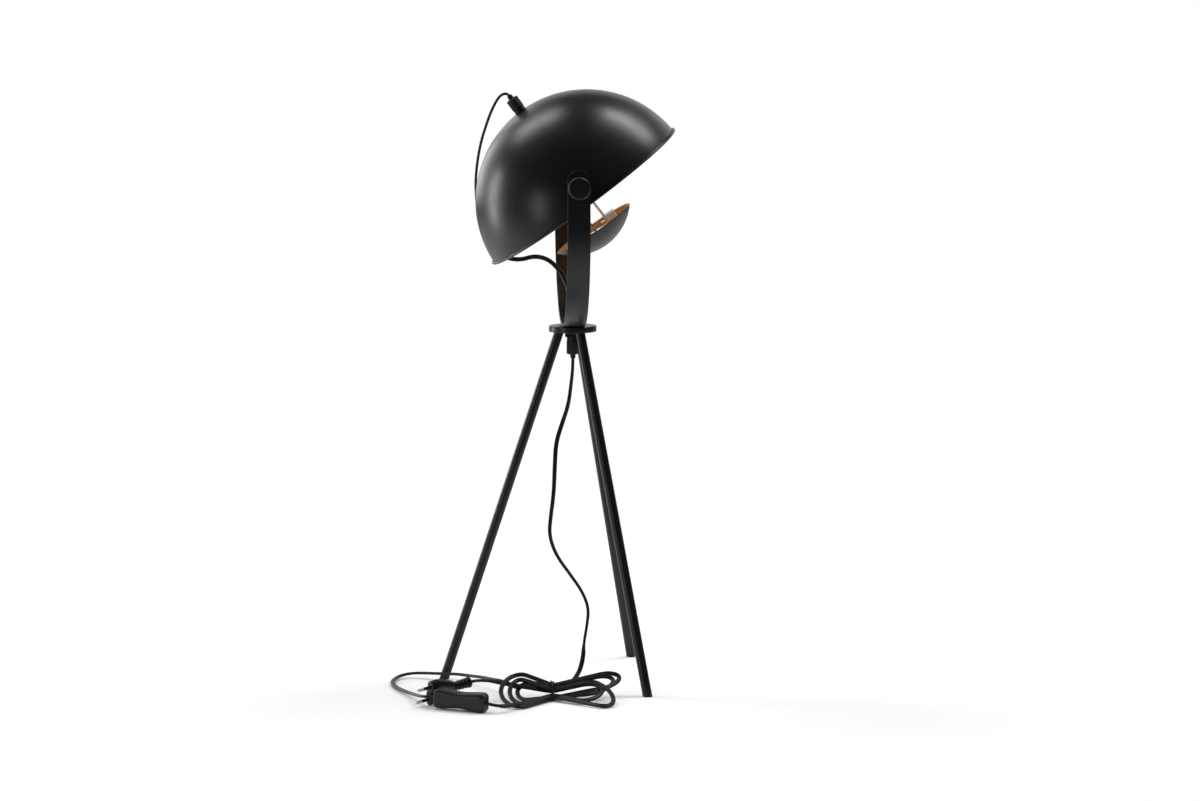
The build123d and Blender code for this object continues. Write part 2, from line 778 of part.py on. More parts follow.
def switch_outline(inset):
    """The switch's waisted outline as a face, smaller by an inset on every side."""
    end = switch_length / 2 - inset
    shoulder = switch_width / 2 - inset
    waist = switch_waist / 2 - inset
    corner = switch_corner_radius - inset
    past_corner = corner * (1 - sqrt(0.5))
    with BuildSketch() as outline:
        with BuildLine():
            for side in (-1, 1):
                Spline(
                    (corner - end, side * shoulder),
                    (0, side * waist),
                    (end - corner, side * shoulder),
                    tangents=[(1, 0), (1, 0)],
                )
                for facing in (-1, 1):
                    ThreePointArc(
                        (facing * (end - corner), side * shoulder),
                        (facing * (end - past_corner), side * (shoulder - past_corner)),
                        (facing * end, side * (shoulder - corner)),
                    )
            for facing in (-1, 1):
                Line((facing * end, corner - shoulder), (facing * end, shoulder - corner))
        make_face()
    return outline.sketch


switch_outside = switch_outline(0)
switch_inside = switch_outline(switch_wall)
rocker_pivot_height = switch_height - switch_wall - rocker_pin_diameter / 2

screw_places = [(-switch_screw_place, 0), (switch_screw_place, 0)]
screw_post_top = switch_screw_end + thread_clearance
cord_hole_start = switch_length / 2 - cord_entry_depth - running_gap
cord_cross = Plane(
    origin=switch_plane.origin + switch_plane.z_dir * switch_split,
    x_dir=switch_plane.y_dir,
    z_dir=switch_plane.x_dir,
)

rocker_cross = Plane(
    origin=switch_plane.origin + switch_plane.z_dir * rocker_pivot_height,
    x_dir=switch_plane.x_dir,
    z_dir=switch_plane.y_dir,
)

with BuildPart() as switch_base:
    with BuildSketch(switch_plane):
        add(switch_outside)
    extrude(amount=switch_split)
    fillet(switch_base.edges().group_by(Axis(switch_plane.origin, switch_back))[0], radius=switch_edge_round)
    with BuildSketch(switch_plane.offset(switch_wall)):
        add(switch_inside)
    extrude(amount=switch_split, mode=Mode.SUBTRACT)
    with BuildSketch(switch_plane.offset(switch_wall)):
        with Locations(*screw_places):
            Circle(switch_post_diameter / 2)
    extrude(amount=switch_split - switch_wall)
    with BuildSketch(switch_plane):
        with Locations(*screw_places):
            Circle(switch_screw_diameter / 2 + running_gap)
    extrude(amount=switch_split, mode=Mode.SUBTRACT)
    with BuildSketch(switch_plane):
        with Locations(*screw_places):
            Circle(switch_screw_head_diameter / 2 + running_gap)
    extrude(amount=switch_screw_head_height + running_gap, mode=Mode.SUBTRACT)
    for end in (-1, 1):
        with BuildSketch(cord_cross.offset(end * cord_hole_start)):
            Circle(cord_bore)
        extrude(amount=end * 2 * cord_entry_depth, mode=Mode.SUBTRACT)
save(switch_base, "switch_base")

with BuildPart() as switch_cover:
    with BuildSketch(switch_plane.offset(switch_split)):
        add(switch_outside)
    extrude(amount=switch_height - switch_split)
    fillet(switch_cover.edges().group_by(Axis(switch_plane.origin, switch_back))[-1], radius=switch_edge_round)
    with BuildSketch(switch_plane.offset(switch_split)):
        add(switch_inside)
    extrude(amount=switch_height - switch_split - switch_wall, mode=Mode.SUBTRACT)
    with BuildSketch(switch_plane.offset(switch_split)):
        Rectangle(rocker_length + 2 * rocker_end_gap, rocker_width + 2 * rocker_side_gap)
    extrude(amount=switch_height, mode=Mode.SUBTRACT)
    lug_middle = rocker_width / 2 + rocker_side_gap + rocker_lug_thickness / 2
    with BuildSketch(switch_plane.offset(rocker_pivot_height - rocker_pin_diameter)):
        with Locations((0, -lug_middle), (0, lug_middle)):
            Rectangle(3 * rocker_pin_diameter, rocker_lug_thickness)
    extrude(amount=switch_height - switch_wall - rocker_pivot_height + rocker_pin_diameter)
    with BuildSketch(rocker_cross):
        Circle(rocker_pin_diameter / 2 + fit_clearance)
    extrude(amount=rocker_pin_length / 2 + fit_clearance, both=True, mode=Mode.SUBTRACT)
    with BuildSketch(switch_plane.offset(switch_split)):
        with Locations(*screw_places):
            Circle(switch_post_diameter / 2)
    extrude(amount=switch_height - switch_wall - switch_split)
    with BuildSketch(switch_plane.offset(switch_split)):
        with Locations(*screw_places):
            Circle(switch_screw_diameter / 2 + thread_clearance)
    extrude(amount=screw_post_top - switch_split, mode=Mode.SUBTRACT)
    for end in (-1, 1):
        with BuildSketch(cord_cross.offset(end * cord_hole_start)):
            Circle(cord_bore)
        extrude(amount=end * 2 * cord_entry_depth, mode=Mode.SUBTRACT)
save(switch_cover, "switch_cover")

with BuildPart() as switch_screws:
    with BuildSketch(switch_plane.offset(running_gap)):
        with Locations(*screw_places):
            Circle(switch_screw_head_diameter / 2)
    extrude(amount=switch_screw_head_height)
    with BuildSketch(switch_plane.offset(running_gap)):
        with Locations(*screw_places):
            Circle(switch_screw_diameter / 2)
    extrude(amount=switch_screw_end - running_gap)
save(switch_screws, "switch_screws")

with BuildPart() as switch_terminals:
    with BuildSketch(switch_plane.offset(switch_wall)):
        with Locations((-terminal_place, 0), (terminal_place, 0)):
            Rectangle(switch_terminal_length, switch_terminal_width)
    extrude(amount=switch_terminal_height)
save(switch_terminals, "switch_terminals")

rocker_frame = Plane(
    origin=rocker_cross.origin,
    x_dir=rocker_cross.x_dir.rotate(Axis((0, 0, 0), rocker_cross.z_dir), rocker_half_travel),
    z_dir=rocker_cross.z_dir,
)
with BuildPart() as switch_rocker:
    with BuildSketch(rocker_frame):
        with BuildLine():
            half = rocker_length / 2
            rocker_top = -(switch_height - rocker_pivot_height + rocker_proud)
            rocker_end = rocker_top - half * tan(radians(rocker_half_travel))
            Polyline(
                (-half, rocker_top + rocker_thickness),
                (-half, rocker_end),
                (0, rocker_top),
                (half, rocker_end),
                (half, rocker_top + rocker_thickness),
                close=True,
            )
        make_face()
    extrude(amount=rocker_width / 2, both=True)
    with BuildSketch(rocker_frame):
        Circle(rocker_pin_diameter / 2)
    extrude(amount=rocker_pin_length / 2, both=True)
save(switch_rocker, "switch_rocker")

# ---- plug ----------------------------------------------------------------------------

plug_axis = Vector(
    cos(radians(plug_heading)) * cos(radians(plug_rise)),
    sin(radians(plug_heading)) * cos(radians(plug_rise)),
    sin(radians(plug_rise)),
)
plug_level = Vector(-sin(radians(plug_heading)), cos(radians(plug_heading)), 0)
plug_plane = Plane(
    origin=plug_face,
    x_dir=plug_level.rotate(Axis((0, 0, 0), plug_axis), plug_lean),
    z_dir=plug_axis,
)
pin_places = [(0, -pin_spacing / 2), (0, pin_spacing / 2)]


def plug_section(thickness, width, chamfered):
    """The plug's flattened eight-sided section with rounded corners."""
    with BuildSketch() as section:
        outline = Rectangle(thickness, width)
        chamfer(outline.vertices(), length=chamfered)
        fillet(section.vertices(), radius=plug_edge_round)
    return section.sketch


front_section = plug_section(plug_thickness, plug_width, plug_chamfer)
back_section = plug_section(plug_back_thickness, plug_back_width, plug_back_chamfer)
with BuildPart() as plug_body:
    with BuildSketch(plug_plane):
        add(front_section)
    with BuildSketch(plug_plane.offset(plug_straight_length)):
        add(front_section)
    with BuildSketch(plug_plane.offset(plug_body_length)):
        add(back_section)
    loft(ruled=True)
    with BuildSketch(plug_plane):
        with Locations(*pin_places):
            Circle(pin_diameter / 2 + thread_clearance)
    extrude(amount=pin_depth_in_body, mode=Mode.SUBTRACT)
save(plug_body, "plug_body")

with BuildPart() as plug_relief:
    with BuildSketch(plug_plane.offset(plug_body_length)):
        Circle(relief_diameter / 2)
    extrude(amount=relief_length)
    rib_pitch = relief_length / relief_rib_count
    for rib in range(relief_rib_count):
        rib_start = plug_body_length + (rib + 1) * rib_pitch - relief_rib_thickness
        with BuildSketch(plug_plane.offset(rib_start)):
            Circle(relief_rib_diameter / 2)
        extrude(amount=relief_rib_thickness)
save(plug_relief, "plug_relief")

with BuildPart() as plug_pins:
    with BuildSketch(plug_plane.offset(pin_depth_in_body)):
        with Locations(*pin_places):
            Circle(pin_diameter / 2 - pin_sleeve_wall)
    extrude(amount=-(pin_depth_in_body + pin_length))
    with BuildSketch(plug_plane.offset(-pin_sleeve_length - running_gap)):
        with Locations(*pin_places):
            Circle(pin_diameter / 2)
    extrude(amount=-(pin_length - pin_sleeve_length - running_gap))
    tips = plug_pins.edges().filter_by(GeomType.CIRCLE).sort_by(Axis(plug_plane.origin, plug_axis))[:2]
    fillet(tips, radius=pin_tip_round)
save(plug_pins, "plug_pins")

with BuildPart() as pin_sleeves:
    with BuildSketch(plug_plane.offset(pin_depth_in_body)):
        with Locations(*pin_places):
            Circle(pin_diameter / 2)
            Circle(pin_diameter / 2 - pin_sleeve_wall + thread_clearance, mode=Mode.SUBTRACT)
    extrude(amount=-(pin_depth_in_body + pin_sleeve_length))
save(pin_sleeves, "pin_sleeves")

# ---- hank of spare cord and its tie --------------------------------------------------

hank_front = hank_left_lobe[1] - hank_left_radii[1]
hank_back = hank_left_lobe[1] + hank_left_radii[1]
hank_top_plane = Plane(
    origin=(0, hank_front, hank_front_height),
    x_dir=(1, 0, 0),
    z_dir=(0, hank_front_height - hank_back_height, hank_back - hank_front),
)

with BuildPart() as cord_hank:
    with BuildSketch():
        with Locations(hank_left_lobe):
            Ellipse(*hank_left_radii)
        with Locations(hank_right_lobe):
            Ellipse(*hank_right_radii)
    extrude(amount=2 * hank_back_height)
    split(bisect_by=hank_top_plane, keep=Keep.BOTTOM)
    with BuildSketch(Plane.XY.offset(tie_wall)):
        with Locations(hank_waist):
            Rectangle(hank_waist_length, hank_waist_width)
    extrude(amount=hank_waist_height)
save(cord_hank, "cord_hank")

tie_plane = Plane(origin=(hank_waist[0], hank_waist[1], 0), x_dir=(0, 1, 0), z_dir=(1, 0, 0))
tie_height = hank_waist_height + 2 * tie_wall

with BuildPart() as cord_tie:
    with BuildSketch(tie_plane):
        with Locations((0, tie_height / 2)):
            Rectangle(hank_waist_width + 2 * tie_wall, tie_height)
            Rectangle(hank_waist_width, hank_waist_height, mode=Mode.SUBTRACT)
        for tail_place in (-tie_width, tie_width):
            with Locations((tail_place, tie_height + tie_tail_length / 2)):
                Rectangle(tie_wall, tie_tail_length)
    extrude(amount=tie_width / 2, both=True)
save(cord_tie, "cord_tie")

# ---- mains cord ----------------------------------------------------------------------


def cord_tube(route, name):
    """A round tube along a route of straight runs and the largest tangent arcs."""
    with BuildPart() as tube:
        with BuildLine() as middle:
            FilletPolyline(*route, radius=smooth_radii(route, name))
        with BuildSketch(Plane(origin=middle.line @ 0, z_dir=middle.line % 0)):
            Circle(cord_diameter / 2)
        sweep()
    length = sum(edge.length for edge in middle.edges())
    section = pi * cord_diameter**2 / 4
    print(name, "length", round(length, 1), "volume ratio", round(tube.part.volume / length / section, 4))
    save(tube, name)


def switch_point(along):
    """A point on the switch's cord axis."""
    place = cord_cross.origin + cord_cross.z_dir * along
    return (place.X, place.Y, place.Z)


def plug_point(along):
    """A point on the plug's axis, measured from its face."""
    place = plug_plane.origin + plug_axis * along
    return (place.X, place.Y, place.Z)


head_cord_start = head_point(apex_seat - apex_grip_length - nozzle_length)
head_cord_route = [
    (head_cord_start.X, 0, head_cord_start.Z),
    (-82.9, 0.2, 745.3),
    (-91.0, 3.0, 742.0),
    (-97.5, 8.0, 730.0),
    (-102.5, 13.5, 716.0),
    (-107.0, 19.5, 702.0),
    (-111.5, 27.5, 687.0),
    (-115.5, 37.0, 670.0),
    (-118.0, 47.5, 650.0),
    (-119.5, 58.0, 627.0),
    (-118.0, 68.0, 602.0),
    (-111.0, 77.0, 576.0),
    (-99.0, 85.0, 549.0),
    (-82.0, 90.5, 529.0),
    (-62.0, 93.5, 525.5),
    (-43.0, 92.5, 531.0),
    (-26.0, 86.5, 527.0),
    (-13.0, 75.0, 515.0),
    (-5.0, 59.5, 501.0),
    (-2.0, 42.0, 488.5),
    (-1.0, 25.0, 480.0),
    (0.0, 9.0, 476.0),
    (0.0, 0.0, 468.0),
    (0.0, 0.0, nipple_top),
]
cord_tube(head_cord_route, "head_cord")

with BuildPart() as nipple_cord:
    with BuildSketch(Plane.XY.offset(nozzle_end_height)):
        Circle(cord_diameter / 2)
    extrude(amount=nipple_top - nozzle_end_height)
save(nipple_cord, "nipple_cord")

hanging_route = [
    (0.0, 0.0, nozzle_end_height),
    (0.0, 0.0, 396.0),
    (-3.0, -3.0, 372.0),
    (-6.5, -7.0, 349.0),
    (-15.0, -12.0, 326.0),
    (-23.0, -18.0, 303.0),
    (-25.0, -26.0, 272.0),
    (-27.0, -36.0, 240.0),
    (-31.5, -46.0, 213.0),
    (-34.0, -54.0, 191.0),
    (-26.0, -62.0, 167.0),
    (-9.0, -71.5, 144.0),
    (6.0, -81.0, 123.0),
    (13.5, -89.5, 103.0),
    (10.5, -98.5, 83.0),
    (6.0, -108.0, 63.0),
    (4.5, -117.0, 46.0),
    (0.0, -127.0, 32.0),
    (-7.0, -137.0, 23.0),
    (-14.0, -147.0, 17.0),
]
cord_tube(hanging_route, "mains_cord_hanging")

loop_route = [
    (-80.0, -152.0, 15.0),
    (-91.0, -130.0, 18.0),
    (-106.0, -99.0, 16.0),
    (-120.0, -65.0, 13.5),
    (-134.0, -44.0, 11.5),
    (-148.0, -30.5, 9.5),
    (-164.0, -19.0, 7.0),
    (-182.0, -6.0, 4.5),
    (-201.0, 5.0, 3.3),
    (-217.0, 2.5, 3.0),
    (-229.0, -16.0, 3.2),
    (-233.0, -45.0, 3.0),
    (-229.0, -79.0, 3.2),
    (-220.0, -114.0, 3.4),
    (-212.0, -146.0, 5.0),
    (-205.0, -172.0, 10.0),
    (-200.0, -187.0, 13.0),
    (-194.0, -197.0, 14.4),
    switch_point(-switch_length / 2 - straight_before_switch),
    switch_point(cord_entry_depth - switch_length / 2),
]
cord_tube(loop_route, "mains_cord_loop")

switch_lead_route = [
    switch_point(switch_length / 2 - cord_entry_depth),
    switch_point(switch_length / 2 + straight_after_switch),
    (-111.0, -239.0, 10.0),
    (-100.0, -236.0, 8.0),
    (-90.0, -226.0, 7.2),
    (-80.0, -214.0, 7.0),
]
cord_tube(switch_lead_route, "mains_cord_switch")

plug_lead_route = [
    plug_point(plug_body_length + relief_length),
    plug_point(plug_body_length + relief_length + straight_after_plug),
    (-120.0, -149.0, 24.5),
    (-108.0, -145.5, 21.0),
    (-96.5, -149.0, 15.5),
    (-86.0, -159.0, 10.5),
]
cord_tube(plug_lead_route, "mains_cord_plug")
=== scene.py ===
import bmesh
import bpy
import json
import math
from mathutils import Matrix, Quaternion, Vector


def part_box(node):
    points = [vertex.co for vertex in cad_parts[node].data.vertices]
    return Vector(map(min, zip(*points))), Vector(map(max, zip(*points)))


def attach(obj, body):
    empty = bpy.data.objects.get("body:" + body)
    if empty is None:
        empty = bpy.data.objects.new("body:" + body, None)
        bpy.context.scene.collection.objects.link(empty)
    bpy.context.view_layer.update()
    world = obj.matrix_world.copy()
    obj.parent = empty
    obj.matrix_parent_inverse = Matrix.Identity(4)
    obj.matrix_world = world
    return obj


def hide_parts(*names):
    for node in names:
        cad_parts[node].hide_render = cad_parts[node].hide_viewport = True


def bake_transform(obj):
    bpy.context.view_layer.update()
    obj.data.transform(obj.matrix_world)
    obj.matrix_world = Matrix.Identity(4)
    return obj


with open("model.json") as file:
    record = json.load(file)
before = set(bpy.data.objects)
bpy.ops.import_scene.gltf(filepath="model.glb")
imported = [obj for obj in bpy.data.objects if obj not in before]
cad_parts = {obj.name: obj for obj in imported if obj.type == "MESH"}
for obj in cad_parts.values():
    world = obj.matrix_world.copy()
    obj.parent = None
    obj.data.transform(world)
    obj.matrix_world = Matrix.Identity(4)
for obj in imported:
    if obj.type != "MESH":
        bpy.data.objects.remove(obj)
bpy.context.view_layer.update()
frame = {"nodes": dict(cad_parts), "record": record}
scene = bpy.context.scene
cad = frame["nodes"]

# Tabletop searchlight lamp: looks, cords and light. Metres and radians, +Z up.


def link(obj):
    """Put an object into the scene."""
    scene.collection.objects.link(obj)
    return obj


def placed(x, y, z, origin):
    """The matrix of an object at an origin, with its own axes along x, y and z."""
    return Matrix.Translation(origin) @ Matrix([[x[i], y[i], z[i]] for i in range(3)]).to_4x4()


# ---- camera, fitted to the photograph ------------------------------------------------

camera_place = (-0.3047, -5.3064, 0.9662)
camera_turn, camera_dip, camera_roll = math.radians(-3.654), math.radians(6.566), math.radians(-0.214)
camera_lens, camera_sensor = 126.95, 36.0
camera_nearest, camera_farthest = 0.05, 100.0


def aimed_camera():
    """The camera at its place, turned about the vertical, dipped and rolled."""
    data = bpy.data.cameras.new("camera")
    data.lens = camera_lens
    data.sensor_width = camera_sensor
    data.clip_start = camera_nearest
    data.clip_end = camera_farthest
    turn, dip, roll = camera_turn, camera_dip, camera_roll
    forward = Vector((-math.sin(turn) * math.cos(dip), math.cos(turn) * math.cos(dip), -math.sin(dip)))
    level_right = Vector((math.cos(turn), math.sin(turn), 0))
    level_up = level_right.cross(forward)
    right = level_right * math.cos(roll) + level_up * math.sin(roll)
    up = level_up * math.cos(roll) - level_right * math.sin(roll)
    camera = link(bpy.data.objects.new("camera", data))
    camera.matrix_world = placed(right, up, -forward, camera_place)
    return camera


scene.camera = aimed_camera()

# ---- sizes, as the frame has them ----------------------------------------------------

mm = 0.001
hub_top, hub_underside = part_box("hub_disc")[1][2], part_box("hub_disc")[0][2]
hub_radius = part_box("hub_disc")[1][0]
hub_round = 0.8 * mm
leg_radius = 6.0 * mm
leg_reach_at_hub, leg_reach_at_floor = 17.1 * mm, 165.8 * mm
leg_azimuths = {"left": math.pi, "back": math.pi / 3, "front": -math.pi / 3}
foot_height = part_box("foot_left")[1][2]
foot_wear, foot_sole_edge, foot_seam = 0.7 * mm, 0.2 * mm, 0.25 * mm

yoke_lo, yoke_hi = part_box("yoke")
bar_width, bar_thickness = yoke_hi[0] - yoke_lo[0], 3.0 * mm
yoke_half_width, arm_top = yoke_hi[1], yoke_hi[2]
yoke_flat_half_length = 10.0 * mm
bar_edge_round, bar_tip_round_share = 0.5 * mm, 0.4

pivot = Vector((0, 0, 632.5 * mm))
mouth_angle = math.radians(53.85)
mouth_direction = Vector((math.cos(mouth_angle), 0, -math.sin(mouth_angle)))
mouth_crosswise = Vector((math.sin(mouth_angle), 0, math.cos(mouth_angle)))
shade_radius, shade_wall = 140.0 * mm, 1.0 * mm
shade_centre_along, lip_along = 31.2 * mm, 25.5 * mm
lip_radius, bead_radius = 142.7 * mm, 1.7 * mm
bead_start, bead_start_behind = 228, 1.14 * mm  # degrees round the bead, and behind its centre
apex_seat = -108.71 * mm

dish_angle = mouth_angle + math.radians(1.85)
dish_direction = Vector((math.cos(dish_angle), 0, -math.sin(dish_angle)))
dish_origin = pivot + mouth_direction * 64.7 * mm - mouth_crosswise * 13.7 * mm
dish_radius, dish_depth, dish_wall = 55.0 * mm, 26.0 * mm, 1.0 * mm

knob_radius, knob_thickness = 14.0 * mm, 12.0 * mm
knob_outer_round, knob_inner_round = 3.0 * mm, 0.6 * mm

grip_radius, grip_cap_radius, grip_collar = 7.5 * mm, 7.9 * mm, 4.7 * mm
grip_ribs, grip_rib_height, grip_edge, grip_slit = 30, 0.32 * mm, 0.35 * mm, 0.05 * mm
nozzle_radius, nozzle_length = 3.65 * mm, 5.2 * mm
hub_grip_length, apex_grip_length = 21.8 * mm, 19.4 * mm
lock_nut_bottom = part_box("hub_lock_nut")[0][2]

plug_face = Vector((-188.9, -188.7, 16.7)) * mm
plug_heading, plug_rise, plug_lean = math.radians(30.2), math.radians(7.9), math.radians(26.0)
plug_half_width, plug_half_thickness = 17.5 * mm, 6.85 * mm
plug_body_length, plug_straight_length = 34.0 * mm, 12.0 * mm
plug_back_half_width, plug_back_half_thickness = 8.5 * mm, 6.0 * mm
plug_edge_round = 1.2 * mm
relief_length = 25.0 * mm
relief_root_start, relief_root_end = 4.7 * mm, 4.0 * mm
relief_crests = [5.7 * mm, 6.0 * mm, 6.2 * mm, 6.3 * mm, 6.8 * mm]
relief_ring_start, relief_ring_end = 0.34, 0.96  # shares of the distance from ring to ring
relief_edge, relief_slope_in, relief_slope_out = 0.5 * mm, 0.2 * mm, 0.1 * mm
relief_mouth_wall = 0.6 * mm

switch_centre = Vector((-151.5, -218.5, 13.1)) * mm
switch_heading, switch_droop = math.radians(-29.0), math.radians(2.0)
switch_half_length, switch_half_width, switch_half_waist = 35.0 * mm, 12.0 * mm, 9.75 * mm
switch_half_thickness, switch_corner, switch_round = 9.0 * mm, 6.0 * mm, 5.0 * mm
switch_seam, switch_sharp = 0.35 * mm, math.radians(50)

cord_width, cord_thickness, cord_groove = 5.8 * mm, 3.4 * mm, 0.5 * mm

# ---- shader nodes --------------------------------------------------------------------


def feed(tree, socket, source):
    """Give a socket a number or the output of another node."""
    if isinstance(source, (int, float)):
        socket.default_value = source
    else:
        tree.links.new(source, socket)


def ramp(tree, source, first, last, start, end, way="SMOOTHSTEP"):
    """A value that goes from start to end while its source goes from first to last."""
    node = tree.nodes.new("ShaderNodeMapRange")
    node.interpolation_type = way
    node.inputs["From Min"].default_value = first
    node.inputs["From Max"].default_value = last
    node.inputs["To Min"].default_value = start
    node.inputs["To Max"].default_value = end
    tree.links.new(source, node.inputs["Value"])
    return node.outputs["Result"]


def calculated(tree, operation, *sources):
    """The result of an operation on numbers and outputs."""
    node = tree.nodes.new("ShaderNodeMath")
    node.operation = operation
    for socket, source in zip(node.inputs, sources):
        feed(tree, socket, source)
    return node.outputs["Value"]


def distance(tree, place, centre):
    """How far a place is from a centre."""
    node = tree.nodes.new("ShaderNodeVectorMath")
    node.operation = "DISTANCE"
    node.inputs[1].default_value = centre
    tree.links.new(place, node.inputs[0])
    return node.outputs["Value"]


def noise(tree, place, scale, detail):
    """A cloudy value between 0 and 1 at each place."""
    node = tree.nodes.new("ShaderNodeTexNoise")
    node.inputs["Scale"].default_value = scale
    node.inputs["Detail"].default_value = detail
    tree.links.new(place, node.inputs["Vector"])
    return node.outputs["Fac"]


def mixed(tree, share, first, second):
    """The first shader where the share is 0, the second where it is 1."""
    node = tree.nodes.new("ShaderNodeMixShader")
    tree.links.new(share, node.inputs["Fac"])
    tree.links.new(first, node.inputs[1])
    tree.links.new(second, node.inputs[2])
    return node.outputs["Shader"]


# ---- materials -----------------------------------------------------------------------

cloud_scale, cloud_detail, cloud_low, cloud_high = 34.0, 4.0, 0.3, 0.7
roughness_spread = 0.03
grain_detail, grain_depth = 3.0, 0.0004


def material(name, colour, roughness, metallic=0.0, bump=0.0, grain=900.0, vary=0.06, specular=0.5):
    """A finish with cloudy changes of tint and roughness and, where it has any, a fine grain."""
    mat = bpy.data.materials.new(name)
    mat.use_nodes = True
    tree = mat.node_tree
    shader = tree.nodes["Principled BSDF"]
    shader.inputs["Metallic"].default_value = metallic
    shader.inputs["Specular IOR Level"].default_value = specular
    place = tree.nodes.new("ShaderNodeTexCoord").outputs["Object"]
    cloud = noise(tree, place, cloud_scale, cloud_detail)
    brightness = ramp(tree, cloud, cloud_low, cloud_high, 1.0 - vary, 1.0 + vary, "LINEAR")
    tint = tree.nodes.new("ShaderNodeVectorMath")
    tint.operation = "SCALE"
    tint.inputs[0].default_value = colour
    tree.links.new(brightness, tint.inputs["Scale"])
    tree.links.new(tint.outputs["Vector"], shader.inputs["Base Color"])
    smoothest, roughest = roughness - roughness_spread, roughness + roughness_spread
    dullness = ramp(tree, cloud, cloud_low, cloud_high, smoothest, roughest, "LINEAR")
    tree.links.new(dullness, shader.inputs["Roughness"])
    if bump:
        relief = tree.nodes.new("ShaderNodeBump")
        relief.inputs["Strength"].default_value = bump
        relief.inputs["Distance"].default_value = grain_depth
        tree.links.new(noise(tree, place, grain, grain_detail), relief.inputs["Height"])
        tree.links.new(relief.outputs["Normal"], shader.inputs["Normal"])
    return mat


def clear_glass():
    """Quartz glass with a trace of unevenness."""
    mat = material("lamp_glass", (0.97, 0.97, 0.95), 0.07, vary=0.01)
    shader = mat.node_tree.nodes["Principled BSDF"]
    shader.inputs["Transmission Weight"].default_value = 1.0
    shader.inputs["IOR"].default_value = 1.45
    return mat


black_metal = material("black_powder_coat", (0.0034, 0.0038, 0.0046), 0.34, bump=0.025, grain=1400)
black_plastic = material("black_plastic", (0.0018, 0.0018, 0.0020), 0.42, bump=0.05)
cord_black = material("black_cord", (0.0045, 0.0047, 0.0045), 0.46, bump=0.06, grain=700, specular=0.4)
gold = material("gold_inside", (0.82, 0.52, 0.25), 0.42, metallic=0.4, bump=0.05, grain=1400)
pin_metal = material("plug_pin_metal", (0.80, 0.72, 0.62), 0.38, metallic=0.6)

by_slot = {
    "black_metal": black_metal,
    "black_plastic": black_plastic,
    "bright_steel": material("zinc_steel", (0.66, 0.64, 0.60), 0.32, metallic=1.0, bump=0.03),
    "cord_sheath": cord_black,
    "brass": material("brass", (0.70, 0.50, 0.24), 0.30, metallic=1.0),
    "white_plastic": material("white_plastic", (0.78, 0.78, 0.76), 0.40),
    "white_ceramic": material("white_ceramic", (0.86, 0.85, 0.82), 0.28, bump=0.03),
    "white_lead": material("white_lead", (0.88, 0.88, 0.86), 0.45, bump=0.05),
    "clear_glass": clear_glass(),
}
slot_of = {entry["node"]: entry["material_slot"] for entry in frame["record"]["subparts"]}
for node_name, cad_node in cad.items():
    finish = pin_metal if node_name == "plug_pins" else by_slot[slot_of[node_name]]
    cad_node.data.materials.clear()
    cad_node.data.materials.append(finish)

# ---- making meshes -------------------------------------------------------------------

usual_sharp = math.radians(32)


def smooth_mesh(name, verts, faces, sharp=usual_sharp):
    """A mesh with its faces turned outward, smooth except at edges that turn more than sharp."""
    mesh = bpy.data.meshes.new(name)
    mesh.from_pydata(verts, [], faces)
    mesh.validate()
    work = bmesh.new()
    work.from_mesh(mesh)
    bmesh.ops.recalc_face_normals(work, faces=work.faces)
    work.to_mesh(mesh)
    work.free()
    mesh.shade_smooth()
    mesh.set_sharp_from_angle(angle=sharp)
    return mesh


def add_piece(mesh, body, slot, materials, *nodes):
    """A piece that rides on a body and stands for the named CAD nodes."""
    piece = link(bpy.data.objects.new(mesh.name, mesh))
    for mat in materials:
        piece.data.materials.append(mat)
    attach(piece, body)
    if nodes:
        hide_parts(*nodes)
    return piece


def arc(centre, radius, start, end, steps):
    """Points of a circle's arc in the plane of a profile, as (along, radius) pairs; angles in degrees."""
    angles = [math.radians(start + (end - start) * i / steps) for i in range(steps + 1)]
    return [(centre[0] + radius * math.cos(a), centre[1] + radius * math.sin(a)) for a in angles]


def lathe(name, profile, origin, axis, around, ripple=None):
    """A turned form about an axis, and the profile span of each of its faces.

    The profile is (along, radius) pairs; ripple adds to a ring's radius.
    """
    side = axis.orthogonal().normalized()
    other = axis.cross(side)
    verts, rings = [], []
    for i, (along, radius) in enumerate(profile):
        centre = origin + axis * along
        on_axis = radius <= 1e-6
        count = 1 if on_axis else around
        rings.append(range(len(verts), len(verts) + count))
        for j in range(count):
            a = 2 * math.pi * j / count
            extra = ripple(i, a) if ripple else 0.0
            r = 0.0 if on_axis else radius + extra
            verts.append(centre + (side * math.cos(a) + other * math.sin(a)) * r)
    faces, spans = [], []
    for i, (first, second) in enumerate(zip(rings, rings[1:])):
        for j in range(around):
            k = (j + 1) % around
            if len(first) == 1:
                faces.append((first[0], second[k], second[j]))
            elif len(second) == 1:
                faces.append((first[j], first[k], second[0]))
            else:
                faces.append((first[j], first[k], second[k], second[j]))
            spans.append(i)
    return smooth_mesh(name, verts, faces), spans


def loft(name, sections, sharp=usual_sharp):
    """A form through sections that have the same number of points, closed at both ends."""
    count = len(sections[0])
    verts = [p for section in sections for p in section]
    faces = [tuple(reversed(range(count))), tuple(range(len(verts) - count, len(verts)))]
    for i in range(len(sections) - 1):
        for j in range(count):
            a, b = i * count + j, i * count + (j + 1) % count
            faces.append((a, b, b + count, a + count))
    return smooth_mesh(name, verts, faces, sharp)


